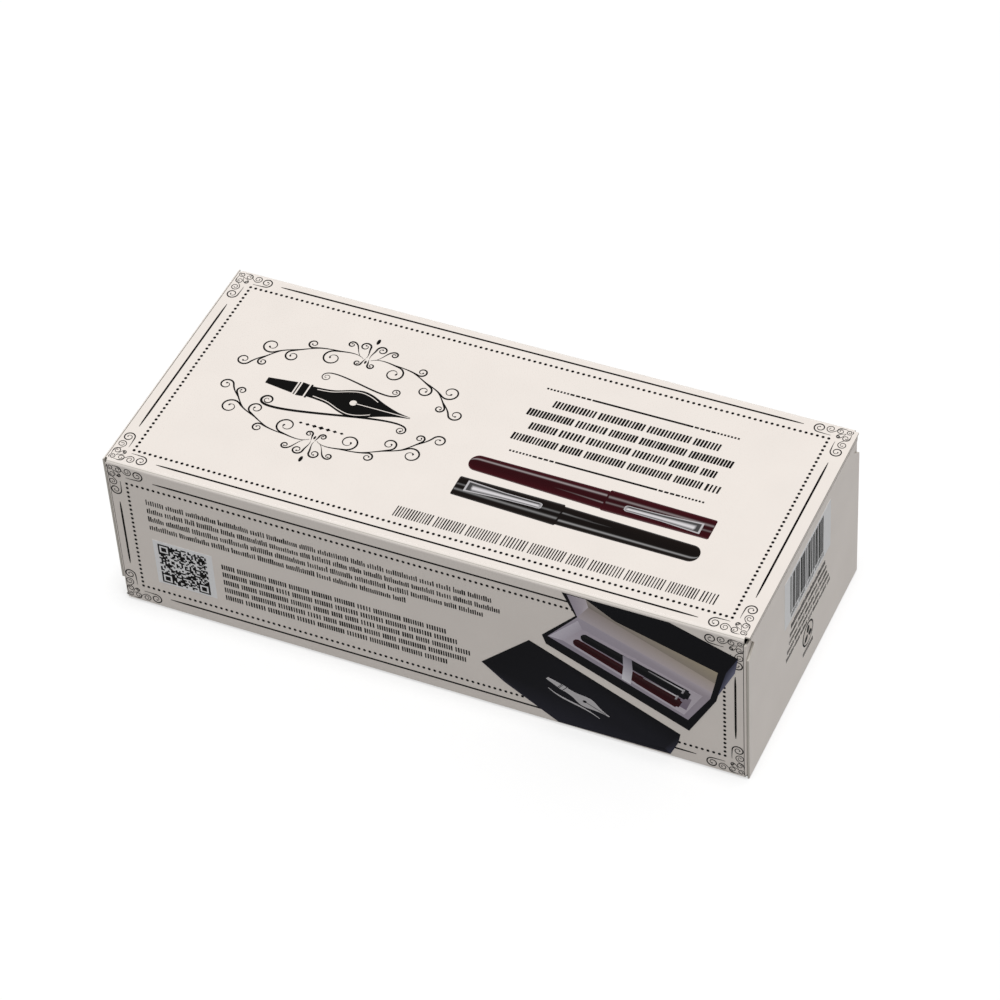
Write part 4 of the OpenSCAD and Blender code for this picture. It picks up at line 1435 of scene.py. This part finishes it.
def ring_of(half_x, half_y, z, corner, bend=8):
    """Points of a rounded rectangle at a level, anticlockwise."""
    points = []
    for k, (sx, sy) in enumerate(((1, 1), (-1, 1), (-1, -1), (1, -1))):
        for i in range(bend + 1):
            a = math.pi / 2 * (k + i / bend)
            points.append(Vector((sx * (half_x - corner) + corner * math.cos(a),
                                  sy * (half_y - corner) + corner * math.sin(a), z)))
    return points


def skinned(name, rings):
    """A closed mesh through rings of points, its first and last rings filled."""
    mesh = bmesh.new()
    made = [[mesh.verts.new(p) for p in ring] for ring in rings]
    count = len(rings[0])
    for a, b in zip(made, made[1:]):
        for i in range(count):
            j = (i + 1) % count
            mesh.faces.new((a[i], a[j], b[j], b[i]))
    mesh.faces.new(made[0][::-1])
    mesh.faces.new(made[-1])
    bmesh.ops.recalc_face_normals(mesh, faces=mesh.faces)
    result = bpy.data.meshes.new(name)
    mesh.to_mesh(result)
    mesh.free()
    return result


class CARTON_OT_linings(bpy.types.Operator):
    """Line both halves of the gift case with satin drawn over card"""

    bl_idname = "carton.linings"
    bl_label = "Linings"

    def execute(self, context):
        cloth = satin("lining_satin", settings().case.satin)
        for half, way in (("base", 1), ("lid", -1)):
            self.line(half, way, cloth)
        return {"FINISHED"}

    def line(self, half, way, cloth):
        """A tray of cloth in one half of the case. Its way from foot to rim is 1 if up."""
        node = f"{half}_lining"
        foot_x, foot_y, foot_z = reach_at(node, way > 0)
        rim_x, rim_y, rim_z = reach_at(node, way < 0)
        deep = abs(rim_z - foot_z)
        lean_x, lean_y = (rim_x - foot_x) / deep, (rim_y - foot_y) / deep
        # The cloth on its card, the round of its rim and the bend at its foot
        thick, roll, bevel, bend = 0.8 * MM, 0.3 * MM, 0.25 * MM, 2 * MM
        # Corners of its outside, which lies in the case, and of its inside
        sharp, soft = 0.2 * MM, 3 * MM

        def at_depth(inset, rise, corner):
            """A ring of the tray, set in from its outer wall and raised from its foot."""
            return ring_of(foot_x + lean_x * rise - inset, foot_y + lean_y * rise - inset,
                           foot_z + way * rise, corner)

        rings = [at_depth(0, 0, sharp), at_depth(0, deep - roll, sharp),
                 at_depth(bevel, deep, sharp), at_depth(thick - bevel, deep, soft),
                 at_depth(thick, deep - roll, soft)]
        for i in range(1, 7):
            rings.append(at_depth(thick, deep - (deep - thick - bend) * i / 6, soft))
        for i in range(1, 6):
            a = math.pi / 2 * i / 5
            rings.append(at_depth(thick + bend * (1 - math.cos(a)),
                                  thick + bend * (1 - math.sin(a)), soft))
        name = f"{half}_satin_lining"
        mesh = skinned(name, rings)
        piece = keep(name, mesh, "carton", cloth, smooth=True)
        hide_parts(node)


class CARTON_OT_pen_bed(bpy.types.Operator):
    """Pad the pen bed, with a sunk groove for each pen"""

    bl_idname = "carton.pen_bed"
    bl_label = "Pen bed"

    def execute(self, context):
        look = settings().case
        foot_x, foot_y, low = reach_at("pen_bed", True)
        top_x, top_y, high = reach_at("pen_bed", False)
        pens = [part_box(f"{c}_pen_barrel") for c in ("black", "burgundy")]
        cap_low, cap_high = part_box("black_pen_cap")
        groove = (cap_high.z - cap_low.z) / 2 + 0.15 * MM
        axis_z = (cap_high.z + cap_low.z) / 2
        lines = [(p[0].y + p[1].y) / 2 for p in pens]
        ends = (pens[0][0].x - 1 * MM, cap_high.x + 1 * MM)
        columns, rows = 150, 72
        # Widths of the bed's round edge, of a groove's surroundings and of the slope down to it
        edge, near, shoulder = 2.2 * MM, 2.5 * MM, 2 * MM
        lip = 0.96 * groove
        # The least padding under a pen, and how deep a groove's lip is drawn in
        shallowest, sink = 0.8 * MM, 0.8 * MM

        def height(x, y):
            """Height of the bed: rounded at its edges, sunk and rounded along each groove."""
            inset = min(top_x - abs(x), top_y - abs(y))
            z = high - look.crown * max(0.0, 1 - inset / edge) ** 2.4
            out = max(ends[0] - x, x - ends[1], 0.0)
            for line in lines:
                off = abs(y - line)
                if off < groove + near and out < near:
                    reach = math.hypot(off, 2.2 * out)
                    if reach < groove:
                        z = min(z, axis_z - math.sqrt(groove ** 2 - reach ** 2))
                    if reach >= lip:
                        z = min(z, high - sink * max(0.0, 1 - (reach - lip) / shoulder) ** 2)
            return max(z, low + shallowest)

        xs = [-1 + 2 * i / columns for i in range(columns + 1)]
        ys = [-1 + 2 * j / rows for j in range(rows + 1)]
        mesh = bmesh.new()
        top = [[mesh.verts.new((x * top_x, y * top_y, height(x * top_x, y * top_y)))
                for y in ys] for x in xs]
        foot = [[mesh.verts.new((x * foot_x, y * foot_y, low)) for y in (ys[0], ys[-1])]
                for x in xs]
        side = [[mesh.verts.new((x * foot_x, y * foot_y, low)) for y in ys[1:-1]]
                for x in (xs[0], xs[-1])]
        for i in range(columns):
            for j in range(rows):
                mesh.faces.new((top[i][j], top[i + 1][j], top[i + 1][j + 1], top[i][j + 1]))
            mesh.faces.new((foot[i][0], foot[i + 1][0], top[i + 1][0], top[i][0]))
            mesh.faces.new((top[i][rows], top[i + 1][rows], foot[i + 1][1], foot[i][1]))
        loop = [foot[i][0] for i in range(columns + 1)]
        for k, i in ((0, 0), (1, columns)):
            edge_low = [foot[i][0], *side[k], foot[i][1]]
            for j in range(rows):
                a, b = edge_low[j], edge_low[j + 1]
                mesh.faces.new((a, b, top[i][j + 1], top[i][j]))
        loop += side[1] + [foot[i][1] for i in range(columns, -1, -1)] + side[0][::-1]
        mesh.faces.new(loop)
        bmesh.ops.recalc_face_normals(mesh, faces=mesh.faces)
        result = bpy.data.meshes.new("padded_pen_bed")
        mesh.to_mesh(result)
        mesh.free()
        piece = keep("padded_pen_bed", result, "carton", satin("bed_satin", look.satin, "Y"),
                     smooth=True)
        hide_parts("pen_bed")
        return {"FINISHED"}


class CARTON_OT_ribbon(bpy.types.Operator):
    """Lay the ribbon over both pens"""

    bl_idname = "carton.ribbon"
    bl_label = "Ribbon over the pens"

    def execute(self, context):
        look = settings().case
        low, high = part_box("pen_band")
        pens = [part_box(f"{c}_pen_barrel") for c in ("burgundy", "black")]
        gap = 0.15 * MM
        inner = (pens[0][1].y - pens[0][0].y) / 2 + gap
        axis = (pens[0][1].z + pens[0][0].z) / 2
        thick = high.z - axis - inner
        lines = [(p[0].y + p[1].y) / 2 for p in pens]
        foot = math.asin(min(1.0, (low.z - axis) / (inner + thick)))
        bends = 14
        path = [(lines[0], math.pi - foot + (foot - math.pi / 2) * i / bends)
                for i in range(bends + 1)]
        path += [(lines[1], math.pi / 2 - (math.pi / 2 - foot) * i / bends)
                 for i in range(bends + 1)]

        def arc(radius):
            return [(y + radius * math.cos(a), axis + radius * math.sin(a)) for y, a in path]

        def ring(x, swell):
            under, over = arc(inner), arc(inner + thick * swell)
            return [Vector((x, y, z)) for y, z in under + over[::-1]]

        edge = 0.35 * MM
        rings = [ring(low.x, 0.5), ring(low.x + edge, 0.95)]
        rings += [ring(low.x + edge + (high.x - low.x - 2 * edge) * i / 6, 0.85)
                  for i in range(1, 6)]
        rings += [ring(high.x - edge, 0.95), ring(high.x, 0.5)]
        mesh = skinned("ribbon", rings)
        piece = keep("pen_ribbon", mesh, "carton", satin("ribbon_satin", look.ribbon, "Y"),
                     smooth=True)
        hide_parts("pen_band")
        return {"FINISHED"}


class CARTON_OT_pens(bpy.types.Operator):
    """Finish the pens in lacquer, steel and moulded plastic"""

    bl_idname = "carton.pens"
    bl_label = "Pens"

    def execute(self, context):
        look = settings().pen
        for colour in ("black", "burgundy"):
            paint = lacquer(f"{colour}_lacquer", getattr(look, colour))
            for part in ("barrel", "grip", "cap"):
                dress(f"{colour}_pen_{part}", paint)
            for part in ("nib", "clip"):
                dress(f"{colour}_pen_{part}", polished_steel())
            for part in ("feed", "cartridge", "cap_liner"):
                dress(f"{colour}_pen_{part}", moulded_plastic())
        return {"FINISHED"}


def background_rays(tree):
    """Where a ray is one that sees the plain background: from the camera, a gloss or glass."""
    path = add(tree, "ShaderNodeLightPath")
    seen = add(tree, "ShaderNodeMath", {
        0: path.outputs["Is Camera Ray"], 1: path.outputs["Is Glossy Ray"]},
        operation="MAXIMUM")
    return add(tree, "ShaderNodeMath", {
        0: seen, 1: path.outputs["Is Transmission Ray"]}, operation="MAXIMUM")


class CARTON_OT_stage(bpy.types.Operator):
    """Set the floor, the lights and the camera"""

    bl_idname = "carton.stage"
    bl_label = "Stage"

    def execute(self, context):
        look = settings().stage
        scene = context.scene
        scene.view_settings.view_transform = "Standard"
        self.floor(look)
        self.sky(scene, look)
        light = bpy.data.lights.new("light_from_above", "SUN")
        light.energy = look.above
        light.angle = math.radians(16)
        lamp = bpy.data.objects.new("light_from_above", light)
        lamp.rotation_euler = (math.radians(1.5), math.radians(3), 0)
        scene.collection.objects.link(lamp)
        self.camera(scene, look)
        return {"FINISHED"}

    def floor(self, look):
        """Studio paper: the camera sees it near white with a soft shadow."""
        mesh = bpy.data.meshes.new("studio_floor")
        half, level = 3.0, -0.1 * MM
        mesh.from_pydata([(-half, -half, level), (half, -half, level), (half, half, level),
                          (-half, half, level)], [], [(0, 1, 2, 3)])
        floor = bpy.data.objects.new("studio_floor", mesh)
        bpy.context.scene.collection.objects.link(floor)
        material, tree = empty_material("studio_paper")
        lit = add(tree, "ShaderNodeBsdfDiffuse",
                  {"Color": opaque([c * 0.43 for c in look.floor])})
        pale = add(tree, "ShaderNodeBsdfDiffuse",
                   {"Color": opaque([c * 0.42 for c in look.floor])})
        glow = add(tree, "ShaderNodeEmission", {"Color": opaque(look.floor), "Strength": 0.6})
        both = add(tree, "ShaderNodeAddShader", {0: pale, 1: glow})
        surface = add(tree, "ShaderNodeMixShader", {0: background_rays(tree), 1: lit, 2: both})
        add(tree, "ShaderNodeOutputMaterial", {"Surface": surface})
        mesh.materials.append(material)

    def sky(self, scene, look):
        """An even dim light, which the camera sees as white."""
        world = bpy.data.worlds.new("studio_sky")
        scene.world = world
        world.use_nodes = True
        tree = world.node_tree
        tree.nodes.clear()
        dim = add(tree, "ShaderNodeBackground",
                  {"Color": opaque(look.floor), "Strength": look.sky})
        white = add(tree, "ShaderNodeBackground", {"Color": opaque(look.floor), "Strength": 1.0})
        surface = add(tree, "ShaderNodeMixShader", {0: background_rays(tree), 1: dim, 2: white})
        add(tree, "ShaderNodeOutputWorld", {"Surface": surface})

    def camera(self, scene, look):
        """The photograph's viewpoint: above the front right, with a long lens."""
        turn, rise, roll = look.turn, look.rise, look.roll
        back = Vector((math.sin(turn) * math.cos(rise), -math.cos(turn) * math.cos(rise),
                       math.sin(rise)))
        right = Vector((0, 0, 1)).cross(back).normalized()
        up = back.cross(right)
        side = right * math.cos(roll) + up * math.sin(roll)
        top = up * math.cos(roll) - right * math.sin(roll)
        middle = Vector((0, 0, HEIGHT * MM / 2))
        # The carton stands a little off the middle of the picture
        shift = 0.022 * WIDTH * MM
        place = middle + (side + top) * shift + back * look.distance
        lens = bpy.data.cameras.new("camera")
        lens.lens = look.lens
        lens.sensor_width = 36
        lens.clip_start = 0.05
        lens.clip_end = 20
        camera = bpy.data.objects.new("camera", lens)
        camera.matrix_world = (Matrix.Translation(place)
                               @ Matrix((side, top, back)).transposed().to_4x4())
        scene.collection.objects.link(camera)
        scene.camera = camera


class CARTON_PT_panel(bpy.types.Panel):
    """Lists the carton's pieces and their settings"""

    bl_idname = "CARTON_PT_panel"
    bl_label = "Calligraphy set carton"
    bl_space_type = "VIEW_3D"
    bl_region_type = "UI"
    bl_category = "Carton"

    def draw(self, context):
        for group in ("board", "ink", "picture", "case", "pen", "stage"):
            box = self.layout.box()
            held = getattr(context.scene.carton, group)
            for name in held.__annotations__:
                box.prop(held, name)
        for operator in OPERATORS:
            self.layout.operator(operator.bl_idname)


OPERATORS = (CARTON_OT_board, CARTON_OT_frames, CARTON_OT_emblem, CARTON_OT_word_rows,
             CARTON_OT_codes, CARTON_OT_pen_picture, CARTON_OT_case_picture,
             CARTON_OT_gift_case, CARTON_OT_linings, CARTON_OT_pen_bed, CARTON_OT_ribbon,
             CARTON_OT_pens, CARTON_OT_stage)
CLASSES = (BoardSettings, InkSettings, PictureSettings, CaseSettings, PenSettings,
           StageSettings, CartonSettings, *OPERATORS, CARTON_PT_panel)


def register():
    for item in CLASSES:
        bpy.utils.register_class(item)
    bpy.types.Scene.carton = bpy.props.PointerProperty(type=CartonSettings)


def unregister():
    del bpy.types.Scene.carton
    for item in reversed(CLASSES):
        bpy.utils.unregister_class(item)


def main():
    """Makes the whole object."""
    register()
    for operator in OPERATORS:
        group, name = operator.bl_idname.split(".")
        getattr(getattr(bpy.ops, group), name)()


if __name__ == "__main__":
    main()
